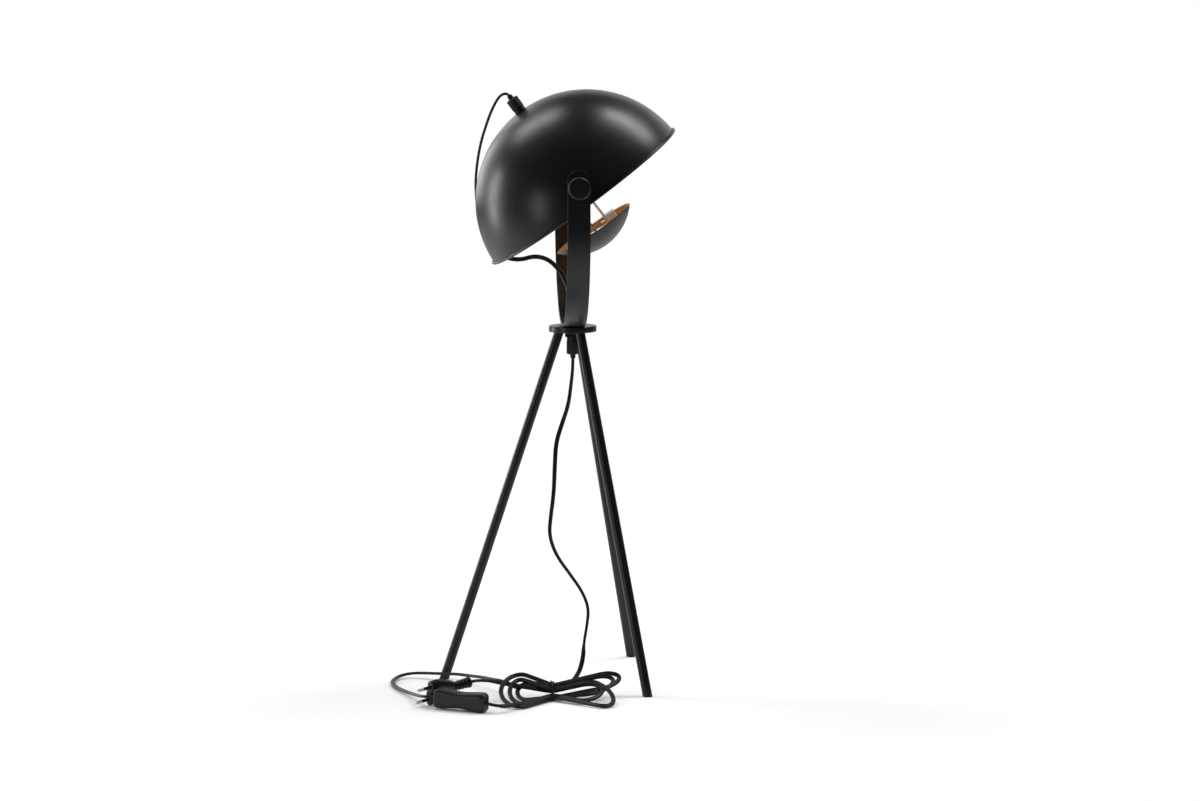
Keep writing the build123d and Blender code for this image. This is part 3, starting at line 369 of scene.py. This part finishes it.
def rounded_outline(corners, radius, steps=4):
    """A convex outline, given anticlockwise, with its corners rounded off."""
    outline = []
    count = len(corners)
    for i, corner in enumerate(corners):
        before = (Vector(corners[i - 1]) - Vector(corner)).normalized()
        after = (Vector(corners[(i + 1) % count]) - Vector(corner)).normalized()
        half = before.angle(after) / 2
        centre = Vector(corner) + (before + after).normalized() * radius / math.sin(half)
        start = Vector(corner) + before * radius / math.tan(half) - centre
        sweep = math.pi - 2 * half
        for k in range(steps + 1):
            a = sweep * k / steps
            outline.append((
                centre.x + start.x * math.cos(a) - start.y * math.sin(a),
                centre.y + start.x * math.sin(a) + start.y * math.cos(a),
            ))
    return outline


# ---- the cords' form -----------------------------------------------------------------

# How much of the way a cord turns at each point, and the smallest lean that still turns it.
cord_follow, cord_least_lean = 0.2, 0.05
cord_sharp = math.radians(75)


def read_line(points, name, per_span=10):
    """The points of a smooth line guided by the given ones, read from a NURBS curve of order 3."""
    data = bpy.data.curves.new(name + "_line", "CURVE")
    data.dimensions = "3D"
    data.resolution_u = per_span
    spline = data.splines.new("NURBS")
    spline.points.add(len(points) - 1)
    for control, place in zip(spline.points, points):
        control.co = (*place, 1.0)
    spline.order_u = 3
    spline.use_endpoint_u = True
    helper = link(bpy.data.objects.new(name + "_line", data))
    bpy.context.view_layer.update()
    mesh = bpy.data.meshes.new_from_object(helper)
    line = [v.co.copy() for v in mesh.vertices]
    bpy.data.objects.remove(helper)
    bpy.data.meshes.remove(mesh)
    bpy.data.curves.remove(data)
    return line


def route(*points):
    """Points given in millimetres."""
    return [Vector(p) * mm for p in points]


def between(value, table):
    """The value that belongs to a place in a table of (place, value) pairs, evenly in between."""
    for (first, start), (second, end) in zip(table, table[1:]):
        if value <= second:
            share = max(0.0, (value - first) / (second - first))
            return start + (end - start) * share
    return table[-1][1]


def flat_section(width, thickness, groove, around=10):
    """Two round cores side by side with a web between them, as (sideways, upward) offsets."""
    r = thickness / 2
    offset = width / 2 - r
    section = []
    for side in (1, -1):
        for i in range(around):
            a = math.radians(-90 + 180 * i / (around - 1))
            x, y = offset + r * math.cos(a), r * math.sin(a)
            section.append((x, y) if side == 1 else (-x, -y))
        section.append((0.0, side * (r - groove)))
    return section


def next_side(previous, side, ahead):
    """The cord's wide direction at its next point: carried on, and drawn a little towards side."""
    side = side - ahead * side.dot(ahead)
    lean = min(1.0, side.length)
    if previous is None:
        return side.normalized() if lean > cord_least_lean else ahead.orthogonal().normalized()
    carried = (previous - ahead * previous.dot(ahead)).normalized()
    if lean > cord_least_lean:
        side.normalize()
        if side.dot(carried) < 0:
            side = -side
        carried = carried * (1 - lean * cord_follow) + side * lean * cord_follow
    return (carried - ahead * carried.dot(ahead)).normalized()


def cord_mesh(name, line, wide_way):
    """The flat cord along a line. Its wide side turns gently towards wide_way(point, ahead)."""
    section = flat_section(cord_width, cord_thickness, cord_groove)
    sections = []
    side = None
    last = len(line) - 1
    for i, p in enumerate(line):
        ahead = (line[min(i + 1, last)] - line[max(i - 1, 0)]).normalized()
        side = next_side(side, wide_way(p, ahead), ahead)
        top = side.cross(ahead)
        sections.append([p + side * x + top * y for x, y in section])
    return loft(name, sections, cord_sharp)


# How many degrees the hanging cord is turned from showing its wide side to the front, by height.
hanging_turn = [(0.06, 80), (0.14, 75), (0.20, 55), (0.26, 40), (0.32, 20), (0.36, 45), (0.40, 70)]
hanging_from, hank_left_end = 60.0 * mm, -105.0 * mm
hank_lean = Vector((0, -0.75, 0.66))
# How far the head cord has turned from edge-on to flat, by height.
head_turn = [(0.53, 1.0), (0.62, 0.0)]


def mains_way(point, ahead):
    """Turned by height where it hangs, leaning in the hank, flat on the floor elsewhere."""
    if point.z > hanging_from:
        a = math.radians(between(point.z, hanging_turn))
        return Vector((math.cos(a), math.sin(a), 0))
    if point.x > hank_left_end:
        return ahead.cross(hank_lean)
    return ahead.cross(Vector((0, 0, 1)))


def head_way(point, ahead):
    """Edge-on to the front behind the shade, flat to it where it goes over to the hub."""
    edge_on = Vector((0, 1, 0))
    return edge_on.lerp(ahead.cross(edge_on), between(point.z, head_turn))


# ---- the cords' ways -----------------------------------------------------------------

head_route = route(
    (-78.65, 0, 740.15), (-80.9, 0, 742.3), (-86.5, 1, 742), (-92, 4, 737), (-97.5, 9, 727), (-103, 14, 714),
    (-107.5, 20, 700), (-112, 28, 685), (-115.5, 37, 668), (-118, 47.5, 649), (-119.5, 58, 627),
    (-118, 68, 602), (-111, 77, 576), (-99, 85, 549), (-82, 90.5, 529), (-62, 93.5, 525.5),
    (-43, 92.5, 531), (-26, 86.5, 527), (-13, 75, 515), (-5, 59.5, 501), (-2, 42, 488.5), (-1, 25, 480),
    (0, 9, 476), (0, 0, 468), (0, 0, 458),
)
hanging_route = route(
    (0, 0, 408.5), (0, 0, 396), (-3, -3, 372), (-6.5, -7, 349), (-15, -12, 326), (-23, -18, 303),
    (-25, -26, 272), (-27, -36, 240), (-31.5, -46, 213), (-34, -54, 191), (-26, -62, 167), (-9, -71.5, 144),
    (6, -81, 123), (13.5, -89.5, 103), (10.5, -98.5, 83), (6, -108, 63), (4.5, -117, 46), (0, -127, 32),
    (-7, -137, 23), (-14, -147, 17),
)
loop_route = route(
    (-80, -152, 15), (-91, -130, 18), (-106, -99, 16), (-120, -65, 13.5), (-134, -44, 11.5),
    (-148, -28, 11), (-164, -15.5, 9.5), (-182, -2, 8), (-201, 11, 6.5), (-218, 11, 4.5), (-230, -14, 3.2),
    (-232.5, -45, 3), (-226, -77, 3.2), (-215.5, -112, 4.8), (-206, -143, 7), (-201, -170, 10.5),
    (-199, -187, 13), (-194, -197, 14.4), (-184.7, -200.1, 14.4), (-176.9, -204.5, 14.1),
)
switch_lead_route = route(
    (-126.2, -232.6, 12.1), (-120, -235.9, 11.8), (-111, -239, 10), (-100, -236, 8), (-90, -226, 7.2),
    (-80, -214, 7),
)
plug_lead_route = route(
    (-138.4, -159.3, 24.8), (-130.7, -154.8, 25.6), (-120, -149, 24.5), (-108, -145.5, 22.5),
    (-96.5, -147, 20.5), (-86, -151, 18.5),
)

# The hank is tied at its waist. Each lobe of a turn is half an ellipse through its top, its
# far end and its lowest point, and it comes from the tie and goes back to it. In millimetres.
tie_x = -36.0
left_lobes = [
    ((-72, -132, 29.0), (-101.5, -170, 14.5), (-77, -219, 3.6)),
    ((-64, -143, 19.5), (-80, -157, 11.0), (-68, -184, 5.8)),
    ((-73, -139, 23.5), (-90, -168, 13.5), (-76, -205, 5.0)),
]
right_lobes = [
    ((31, -133, 28.6), (47.5, -141, 20.3), (13, -160, 12.5)),
    ((23, -138, 25.6), (39.5, -147, 17.5), (4, -168, 8.4)),
    ((14, -146, 21.0), (37.5, -190, 8.6), (19, -219, 3.6)),
    ((4, -150, 18.0), (26, -166, 13.0), (0, -192, 4.8)),
]
# Where each strand crosses the tie, as (y, z).
tie_slots = {
    "main": [(-149, 17.6), (-161, 3.2), (-155, 17.9), (-153, 3.2), (-147, 13.6)],
    "end": [(-164, 6.0), (-162, 14.2), (-157, 6.2), (-155, 10.6)],
}
lobe_angles = (90, 62, 34, 0, -34, -62, -90)
leaving_shares, arriving_shares = (0.3, 0.68), (0.32, 0.7)


def tie_point(strand, crossing):
    """Where a strand crosses the tie."""
    y, z = tie_slots[strand][crossing]
    return (tie_x, y, z)


def lobe_points(lobe, falling, leave, arrive):
    """A lobe's points between two places at the tie, from its top to its lowest point or back."""
    top, far, low = (Vector(p) for p in lobe)
    middle = (top + low) / 2
    half = [
        middle + (far - middle) * math.cos(math.radians(a)) + (top - low) / 2 * math.sin(math.radians(a))
        for a in lobe_angles
    ]
    if not falling:
        half.reverse()
    leave, arrive = Vector(leave), Vector(arrive)
    leave_on = [leave.lerp(half[0], share) for share in leaving_shares]
    arrive_on = [half[-1].lerp(arrive, share) for share in arriving_shares]
    return [leave, *leave_on, *half, *arrive_on]


def wound(strand, lobes):
    """The turns of one strand of the hank. Left lobes fall from top to bottom, right ones rise."""
    points = []
    for crossing, lobe in enumerate(lobes):
        falling = lobe in left_lobes
        points += lobe_points(lobe, falling, tie_point(strand, crossing), tie_point(strand, crossing + 1))
    points.append(Vector(tie_point(strand, len(lobes))))
    return [p * mm for p in points]


main_turns = wound("main", [left_lobes[0], right_lobes[0], left_lobes[1], right_lobes[1]])
end_turns = wound("end", [right_lobes[2], left_lobes[2], right_lobes[3]])
towards_loop = route((-54, -146, 17), (-68, -150, 17.5))
from_switch = route((-66, -196, 4.5), (-50, -176, 5.5))
towards_plug = route((-50, -153, 12.5), (-68, -153, 16))
mains_route = hanging_route + main_turns + towards_loop + loop_route
plug_route = switch_lead_route + from_switch + end_turns + towards_plug + list(reversed(plug_lead_route))

head_line = read_line(head_route, "head_cord")
main_line = read_line(mains_route, "mains_cord")
end_line = read_line(plug_route, "plug_cord")

head_cord = link(bpy.data.objects.new("head_cord_flat", cord_mesh("head_cord_flat", head_line, head_way)))
head_cord.data.materials.append(cord_black)
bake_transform(head_cord)
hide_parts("head_cord")
mains_cord = add_piece(
    cord_mesh("mains_cord", main_line, mains_way), "stand", "cord_sheath", [cord_black],
    "mains_cord_hanging", "mains_cord_loop", "cord_hank",
)
plug_cord = add_piece(
    cord_mesh("plug_cord", end_line, mains_way), "stand", "cord_sheath", [cord_black],
    "mains_cord_switch", "mains_cord_plug",
)

# ---- the hank's tie ------------------------------------------------------------------

tie_low, tie_high = (-168.5 * mm, 0.3 * mm), (-143.2 * mm, 21.6 * mm)
tie_corner, tie_width, tie_thickness = 7.5 * mm, 2.6 * mm, 0.9 * mm
prong_radius = 0.8 * mm


def tie_loop(inset, across):
    """A rounded loop round the hank's waist, smaller by an inset than the band's outside."""
    (y_lo, z_lo), (y_hi, z_hi) = tie_low, tie_high
    corners = [
        (y_lo + inset, z_lo + inset), (y_hi - inset, z_lo + inset), (y_hi - inset, z_hi - inset),
        (y_lo + inset, z_hi - inset),
    ]
    outline = rounded_outline(corners, tie_corner - inset, steps=8)
    return [(tie_x * mm + across, y, z) for y, z in outline]


def tie_band():
    """A thin band round the hank's waist."""
    half = tie_width / 2
    edges = ((0, -half), (0, half), (tie_thickness, half), (tie_thickness, -half))
    loops = [tie_loop(inset, across) for inset, across in edges]
    count = len(loops[0])
    verts = [p for loop in loops for p in loop]
    faces = []
    for i in range(len(loops)):
        after = ((i + 1) % len(loops)) * count
        for j in range(count):
            k = (j + 1) % count
            faces.append((i * count + j, i * count + k, after + k, after + j))
    return add_piece(smooth_mesh("tie_band", verts, faces), "stand", "cord_sheath", [cord_black], "cord_tie")


def tie_prong(name, y, z, way, length):
    """One of the tie's short twisted ends."""
    profile = [(0.0, 0.0), (0.0, prong_radius)] + arc((length - prong_radius, 0), prong_radius, 90, 0, 5)
    mesh, _ = lathe(name, profile, Vector((tie_x * mm, y, z)), Vector(way).normalized(), around=16)
    return add_piece(mesh, "stand", "cord_sheath", [cord_black])


tie_band()
tie_prong("tie_prong_a", -153 * mm, 20.5 * mm, (-0.55, 0, 1), 4.6 * mm)
tie_prong("tie_prong_b", -156 * mm, 20.5 * mm, (0.4, -0.3, 1), 4.0 * mm)
tie_prong("tie_prong_c", -166.5 * mm, 3.5 * mm, (0.3, -0.7, -0.35), 4.0 * mm)

# ---- shade and dish ------------------------------------------------------------------


def two_sided(mesh, spans, first_inside, node):
    """A skin that is black outside and gold from its first inside span on."""
    for polygon, span in zip(mesh.polygons, spans):
        polygon.material_index = int(span >= first_inside)
    return add_piece(mesh, "head", "black_metal", [black_metal, gold], node)


def shade_skin():
    """The half-round shade with its rolled lip."""
    bead_centre = (lip_along - bead_radius, lip_radius - bead_radius)
    crease_along = bead_centre[0] - bead_start_behind - shade_centre_along
    crease = math.degrees(math.asin(crease_along / shade_radius))
    inner_radius = shade_radius - shade_wall
    lip_inside = math.degrees(math.asin((lip_along - shade_centre_along) / inner_radius))
    outside = arc((shade_centre_along, 0), shade_radius, 180, 90 - crease, 64)
    bead = arc(bead_centre, bead_radius, bead_start, 0, 16)
    inside = arc((shade_centre_along, 0), inner_radius, 90 - lip_inside, 180, 48)
    mesh, spans = lathe("shade_skin", outside + bead + inside, pivot, mouth_direction, around=224)
    return two_sided(mesh, spans, len(outside) + len(bead), "shade")


def dish_skin():
    """The small reflector dish with a rounded rim."""
    sphere = (dish_radius**2 + dish_depth**2) / (2 * dish_depth)
    centre = dish_depth - sphere
    rim = math.degrees(math.asin(dish_radius / sphere))
    middle_radius = sphere - dish_wall / 2
    rim_centre = arc((centre, 0), middle_radius, rim, rim, 1)[0]
    outside = arc((centre, 0), sphere, 0, rim, 40)
    lip = arc(rim_centre, dish_wall / 2, rim, rim + 180, 8)[1:-1]
    inside = arc((centre, 0), sphere - dish_wall, rim, 0, 40)
    mesh, spans = lathe("dish_skin", outside + lip + inside, dish_origin, dish_direction, around=160)
    return two_sided(mesh, spans, len(outside) + len(lip) // 2, "dish")


shade_skin()
dish_skin()

# ---- yoke, hub, legs and feet --------------------------------------------------------


def yoke_stations():
    """The bar's middle line from the near arm's tip to the far one's, as (place, ahead, half width)."""
    middle_half_width = yoke_half_width - bar_thickness / 2
    bottom = hub_top + bar_thickness / 2
    bend = middle_half_width - yoke_flat_half_length
    end_radius = bar_width / 2
    round_start = arm_top - end_radius
    first_angle, end_steps, bend_steps = 86, 16, 48  # the first section is just short of the tip
    stations = []
    for i in range(end_steps + 1):
        a = math.radians(first_angle - first_angle * i / end_steps)
        place = Vector((0, -middle_half_width, round_start + end_radius * math.sin(a)))
        stations.append((place, Vector((0, 0, -1)), end_radius * math.cos(a)))
    for i in range(bend_steps + 1):
        a = math.radians(90 * i / bend_steps)
        place = Vector((0, -yoke_flat_half_length - bend * math.cos(a), bottom + bend - bend * math.sin(a)))
        stations.append((place, Vector((0, math.sin(a), -math.cos(a))), end_radius))
    for place, ahead, half_width in reversed(stations[:]):
        mirrored = Vector((0, -place.y, place.z))
        stations.append((mirrored, Vector((0, ahead.y, -ahead.z)), half_width))
    return stations


def yoke_bar():
    """The flat bar, bent to a U, with round ends and softened edges."""
    sections = []
    half = bar_thickness / 2
    for place, ahead, half_width in yoke_stations():
        outward = Vector((1, 0, 0)).cross(ahead)
        edge = min(bar_edge_round, bar_tip_round_share * half_width)
        corners = [(half_width, -half), (half_width, half), (-half_width, half), (-half_width, -half)]
        sections.append([
            place + Vector((x, 0, 0)) + outward * t for x, t in rounded_outline(corners, edge)
        ])
    return add_piece(loft("yoke_bar", sections), "stand", "black_metal", [black_metal], "yoke")


def hub_plate():
    """The round plate that carries the legs and the yoke."""
    r, e = hub_radius, hub_round
    profile = [(hub_underside, 0.0), (hub_underside, r - e)]
    profile += arc((hub_underside + e, r - e), e, 180, 90, 5)
    profile += arc((hub_top - e, r - e), e, 90, 0, 5)
    profile += [(hub_top, 0.0)]
    mesh, _ = lathe("hub_plate", profile, Vector((0, 0, 0)), Vector((0, 0, 1)), around=128)
    return add_piece(mesh, "stand", "black_metal", [black_metal], "hub_disc")


def leg_section(azimuth, radius, height, around=48):
    """Where a leg's round side crosses a level plane."""
    outward = Vector((math.cos(azimuth), math.sin(azimuth), 0))
    foot = outward * leg_reach_at_floor
    axis = (outward * leg_reach_at_hub + Vector((0, 0, hub_underside)) - foot).normalized()
    side = axis.orthogonal().normalized()
    other = axis.cross(side)
    section = []
    for i in range(around):
        a = 2 * math.pi * i / around
        start = foot + (side * math.cos(a) + other * math.sin(a)) * radius
        section.append(start + axis * (height - start.z) / axis.z)
    return section


def leg_and_foot(name, azimuth, steps=24):
    """A leg tube, cut level at both ends, and the cap that it stands on."""
    heights = [foot_height + (hub_underside - foot_height) * i / steps for i in range(steps + 1)]
    tube = loft("tube_" + name, [leg_section(azimuth, leg_radius, h) for h in heights])
    add_piece(tube, "stand", "black_metal", [black_metal], "leg_" + name)
    rings = [
        (leg_radius - foot_wear, 0.0), (leg_radius - foot_sole_edge, foot_sole_edge),
        (leg_radius, foot_wear), (leg_radius, foot_height - foot_seam),
        (leg_radius - foot_seam, foot_height),
    ]
    cap = loft("cap_" + name, [leg_section(azimuth, r, h) for r, h in rings])
    add_piece(cap, "stand", "black_plastic", [black_plastic], "foot_" + name)


yoke_bar()
hub_plate()
for leg_name, leg_azimuth in leg_azimuths.items():
    leg_and_foot(leg_name, leg_azimuth)

# ---- knobs and cord grips ------------------------------------------------------------


def turned_knob(name, side):
    """A clamping knob: a short cylinder with a well rounded outer edge."""
    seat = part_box(name)[0 if side > 0 else 1][1]
    o, i = knob_outer_round, knob_inner_round
    profile = [(0.0, 0.0), (0.0, knob_radius - i)]
    profile += arc((i, knob_radius - i), i, 180, 90, 4)
    profile += arc((knob_thickness - o, knob_radius - o), o, 90, 0, 10)
    profile += [(knob_thickness, 0.0)]
    origin = Vector((0, seat, pivot.z))
    mesh, _ = lathe(name + "_turned", profile, origin, Vector((0, side, 0)), around=96)
    return add_piece(mesh, name, "black_plastic", [black_plastic], name)


def grip_ripple(ring, angle):
    """The ribs of a grip's cap, on its widest rings only."""
    return grip_rib_height * (0.5 + 0.5 * math.cos(grip_ribs * angle)) if ring in (2, 3, 4) else 0.0


def cord_grip(name, seat, axis, length, body):
    """A cord grip: a smooth collar, a ribbed cap and a nozzle."""
    edge, start, end = grip_edge, grip_collar + grip_slit, length + nozzle_length
    collar = [
        (0.0, 0.0), (0.0, grip_radius - edge), (edge, grip_radius), (grip_collar - edge, grip_radius),
        (grip_collar, grip_radius - edge), (grip_collar, 0.0),
    ]
    cap = [
        (start, 0.0), (start, grip_cap_radius - 2 * edge), (start + edge, grip_cap_radius - edge),
        (start + 3 * edge, grip_cap_radius - edge), (length - 3 * edge, grip_cap_radius - edge),
        (length - edge, grip_cap_radius - 2 * edge), (length, grip_cap_radius - 4 * edge), (length, 0.0),
    ]
    nozzle = [
        (length, 0.0), (length, nozzle_radius), (end - edge, nozzle_radius - edge),
        (end, nozzle_radius - 2 * edge), (end, 0.0),
    ]
    for part, node, profile, around, ripple in (
        ("_collar", "_base", collar, 96, None),
        ("_ribbed_cap", "_cap", cap, grip_ribs * 8, grip_ripple),
        ("_nozzle", "_collet", nozzle, 64, None),
    ):
        mesh, _ = lathe(name + part, profile, seat, axis, around, ripple)
        add_piece(mesh, body, "black_plastic", [black_plastic], name + node)


turned_knob("near_knob", -1)
turned_knob("far_knob", 1)
cord_grip("hub_grip", Vector((0, 0, lock_nut_bottom)), Vector((0, 0, -1)), hub_grip_length, "stand")
cord_grip("apex_grip", pivot + mouth_direction * apex_seat, -mouth_direction, apex_grip_length, "head")

# ---- plug ----------------------------------------------------------------------------

plug_axis = Vector((
    math.cos(plug_heading) * math.cos(plug_rise),
    math.sin(plug_heading) * math.cos(plug_rise),
    math.sin(plug_rise),
))
plug_level = Vector((-math.sin(plug_heading), math.cos(plug_heading), 0))
plug_thickways = Quaternion(plug_axis, plug_lean) @ plug_level
plug_widthways = plug_axis.cross(plug_thickways)


def plug_section(along, half_thickness, half_width, chamfer):
    """The plug's flattened eight-sided section at a place along it."""
    t, w, c = half_thickness, half_width, chamfer
    corners = [
        (t, -w + c), (t, w - c), (t - c, w), (-t + c, w),
        (-t, w - c), (-t, -w + c), (-t + c, -w), (t - c, -w),
    ]
    centre = plug_face + plug_axis * along
    outline = rounded_outline(corners, plug_edge_round, steps=3)
    return [centre + plug_thickways * x + plug_widthways * y for x, y in outline]


def plug_shell():
    """The moulded body: straight at the face, then narrowing to the relief."""
    t, w = plug_half_thickness, plug_half_width
    bt, bw = plug_back_half_thickness, plug_back_half_width
    straight, end = plug_straight_length, plug_body_length
    # Each row: the place along the plug, half its thickness, half its width and its corner cut.
    rows = [
        (0.0, t - 1.0 * mm, w - 1.0 * mm, 4.2 * mm),
        (0.3 * mm, t - 0.4 * mm, w - 0.4 * mm, 4.5 * mm),
        (1.0 * mm, t, w, 4.6 * mm),
        (straight - 1.5 * mm, t, w, 4.6 * mm),
        (straight + 1.0 * mm, t - 0.1 * mm, w - 0.7 * mm, 4.6 * mm),
        (end - 2.0 * mm, bt + 0.1 * mm, bw + 0.7 * mm, 4.1 * mm),
        (end - 0.5 * mm, bt - 0.2 * mm, bw - 0.2 * mm, 4.0 * mm),
        (end, bt - 0.9 * mm, bw - 0.9 * mm, 3.6 * mm),
    ]
    sections = [plug_section(*row) for row in rows]
    return add_piece(loft("plug_shell", sections), "stand", "black_plastic", [black_plastic], "plug_body")


def plug_sleeve():
    """The ribbed strain relief: thick rings on a core that narrows to the cord, the last the largest."""
    edge = relief_edge
    pitch = relief_length / len(relief_crests)
    profile = [(0.0, 0.0)]
    for k, crest in enumerate(relief_crests):
        root = relief_root_start + (relief_root_end - relief_root_start) * k / len(relief_crests)
        first, last = (k + relief_ring_start) * pitch, (k + relief_ring_end) * pitch
        profile += [
            (k * pitch, root), (first - relief_slope_in, root), (first, crest - edge),
            (first + edge, crest), (last - edge, crest), (last, crest - edge),
            (last + relief_slope_out, root),
        ]
    profile += [(relief_length, cord_width / 2 + relief_mouth_wall), (relief_length, 0.0)]
    origin = plug_face + plug_axis * plug_body_length
    mesh, _ = lathe("plug_sleeve", profile, origin, plug_axis, around=64)
    return add_piece(mesh, "stand", "black_plastic", [black_plastic], "plug_relief")


shell, sleeve = plug_shell(), plug_sleeve()

# ---- switch --------------------------------------------------------------------------


def switch_outline(inset, waist_steps=12, corner_steps=8):
    """The switch's waisted outline as (along, up) pairs, smaller by an inset on every side."""
    end, corner = switch_half_length - inset, switch_corner - inset
    shoulder, waist = switch_half_width - inset, switch_half_waist - inset
    quarter = []
    for i in range(waist_steps + 1):
        share = i / waist_steps
        rise = share * share * (3 - 2 * share)
        quarter.append(((end - corner) * share, waist + (shoulder - waist) * rise))
    for i in range(1, corner_steps + 1):
        a = math.radians(90 - 90 * i / corner_steps)
        quarter.append((end - corner + corner * math.cos(a), shoulder - corner + corner * math.sin(a)))
    right_half = quarter + [(x, -y) for x, y in reversed(quarter)]
    return right_half + [(-x, y) for x, y in reversed(right_half[1:-1])]


def switch_front(round_steps=8):
    """The switch's smooth front half, with well rounded edges and a fine seam where it meets the cover."""
    along = Vector((
        math.cos(switch_heading) * math.cos(switch_droop),
        math.sin(switch_heading) * math.cos(switch_droop),
        -math.sin(switch_droop),
    ))
    back = Vector((-math.sin(switch_heading), math.cos(switch_heading), 0))
    high = back.cross(along)
    round_start = switch_round - switch_half_thickness
    rows = [(0.0, switch_seam), (-switch_seam, 0.0), (round_start, 0.0)]
    for i in range(1, round_steps + 1):
        a = math.radians(90 * i / round_steps)
        rows.append((round_start - switch_round * math.sin(a), switch_round * (1 - math.cos(a))))
    sections = [
        [switch_centre + back * depth + along * x + high * y for x, y in switch_outline(inset)]
        for depth, inset in rows
    ]
    mesh = loft("switch_front", sections, switch_sharp)
    return add_piece(mesh, "stand", "black_plastic", [black_plastic], "switch_base", "switch_screws")


switch_shell = switch_front()

# ---- floor ---------------------------------------------------------------------------

floor_half_side = 12.0
plain_from, plain_to = 0.5, 2.0
# Painted shade: to rays other than the camera's, the floor darkens from light to dark between these distances
# from a centre behind the lamp.
painted_shade_centre, painted_shade_from, painted_shade_to = (0, 1.6, 0), 2.0, 3.4
painted_shade_lightest, painted_shade_darkest = 0.7, 0.08


def floor_material():
    """Pale, and plain white far away, to the camera; to all other rays darker towards the front, painted
    shade that dims the floor's reflections and bounce light there.
    """
    mat = material("floor_white", (0.95, 0.95, 0.95), 0.9, vary=0.0, specular=0.0)
    tree = mat.node_tree
    place = tree.nodes.new("ShaderNodeTexCoord").outputs["Object"]
    far = tree.nodes.new("ShaderNodeEmission")
    far.inputs["Strength"].default_value = 1.0
    fading = ramp(tree, distance(tree, place, (0, 0, 0)), plain_from, plain_to, 0.0, 1.0)
    near = tree.nodes["Principled BSDF"].outputs["BSDF"]
    seen = mixed(tree, fading, near, far.outputs["Emission"])
    # Painted shade: the floor's colour to all other rays, darker towards the front.
    painted_shade_floor = tree.nodes.new("ShaderNodeBsdfDiffuse")
    towards_front = distance(tree, place, painted_shade_centre)
    tree.links.new(ramp(tree, towards_front, painted_shade_from, painted_shade_to, painted_shade_lightest, painted_shade_darkest), painted_shade_floor.inputs["Color"])
    camera_ray = tree.nodes.new("ShaderNodeLightPath").outputs["Is Camera Ray"]
    surface = mixed(tree, camera_ray, painted_shade_floor.outputs["BSDF"], seen)
    tree.links.new(surface, tree.nodes["Material Output"].inputs["Surface"])
    return mat


def pale_floor():
    """A wide level square."""
    corners = [(-1, -1), (1, -1), (1, 1), (-1, 1)]
    verts = [(x * floor_half_side, y * floor_half_side, 0) for x, y in corners]
    mesh = bpy.data.meshes.new("floor")
    mesh.from_pydata(verts, [], [(0, 1, 2, 3)])
    mesh.materials.append(floor_material())
    return link(bpy.data.objects.new("floor", mesh))


floor = pale_floor()

# ---- surroundings --------------------------------------------------------------------

diffuse_level, dark_level, edge_level = 0.70, 0.03, 1.9
backdrop_y, backdrop_z = (0.35, 0.8), (0.3, 0.6)
left_edge_x, left_edge_y = (-0.4, -0.15), (0.74, 0.92)


def white_background(tree, node, level):
    """A background node made white, with a number or an output as its strength."""
    node.inputs["Color"].default_value = (1, 1, 1, 1)
    feed(tree, node.inputs["Strength"], level)
    return node.outputs["Background"]


def mirrored_level(tree):
    """What glossy surfaces mirror: a dark room, a low bright backdrop and a glow at its left edge."""
    split = tree.nodes.new("ShaderNodeSeparateXYZ")
    tree.links.new(tree.nodes.new("ShaderNodeTexCoord").outputs["Generated"], split.inputs["Vector"])
    x, y, z = (split.outputs[axis] for axis in "XYZ")
    behind = ramp(tree, y, *backdrop_y, 0.0, 1.0)
    low = ramp(tree, z, *backdrop_z, 1.0 - dark_level, 0.0)
    backdrop = calculated(tree, "MULTIPLY_ADD", behind, low, dark_level)
    left = ramp(tree, x, *left_edge_x, edge_level, 0.0)
    far_back = ramp(tree, y, *left_edge_y, 0.0, 1.0)
    return calculated(tree, "ADD", backdrop, calculated(tree, "MULTIPLY", left, far_back))


def studio_world():
    """Soft light from all sides, white where it is seen and mostly dark where it is mirrored."""
    world = bpy.data.worlds.new("studio")
    world.use_nodes = True
    tree = world.node_tree
    path = tree.nodes.new("ShaderNodeLightPath")
    soft = white_background(tree, tree.nodes["Background"], diffuse_level)
    mirrored = white_background(tree, tree.nodes.new("ShaderNodeBackground"), mirrored_level(tree))
    white = white_background(tree, tree.nodes.new("ShaderNodeBackground"), 1.0)
    camera_ray, clear_ray = path.outputs["Is Camera Ray"], path.outputs["Is Transmission Ray"]
    unseen = mixed(tree, path.outputs["Is Glossy Ray"], soft, mirrored)
    shown = mixed(tree, calculated(tree, "MAXIMUM", camera_ray, clear_ray), unseen, white)
    tree.links.new(shown, tree.nodes["World Output"].inputs["Surface"])
    return world


scene.world = studio_world()

# ---- lamps ---------------------------------------------------------------------------

light_target = pivot + mouth_direction * shade_centre_along
light_distance = 2.2


def softbox(name, towards, long_side, long_degrees, short_degrees, level):
    """A soft lamp seen from the shade in one direction, with its angular size and its brightness."""
    d = Vector(towards).normalized()
    x = Vector(long_side)
    x = (x - d * x.dot(d)).normalized()
    data = bpy.data.lights.new(name, "AREA")
    data.shape = "RECTANGLE"
    data.size = 2 * light_distance * math.tan(math.radians(long_degrees / 2))
    data.size_y = 2 * light_distance * math.tan(math.radians(short_degrees / 2))
    data.energy = math.pi * data.size * data.size_y * level
    lamp = link(bpy.data.objects.new(name, data))
    lamp.matrix_world = placed(x, d.cross(x), d, light_target + d * light_distance)


# The direction from the shade, the way of the long side, both sides in degrees, the brightness.
softbox("soft_left", (-0.487, 0.399, 0.776), (0.42, -0.07, 0.30), 30, 14, 6.9)
softbox("soft_right", (0.49, 0.21, 0.84), (0.47, -0.08, -0.23), 35, 13, 10.8)
softbox("soft_side", (-0.90, 0.39, 0.02), (0, 0, 1), 30, 9, 10.4)
softbox("soft_front", (-0.79, -0.60, -0.05), (0, 0, 1), 22, 11, 3.4)

scene.view_settings.view_transform = "Standard"
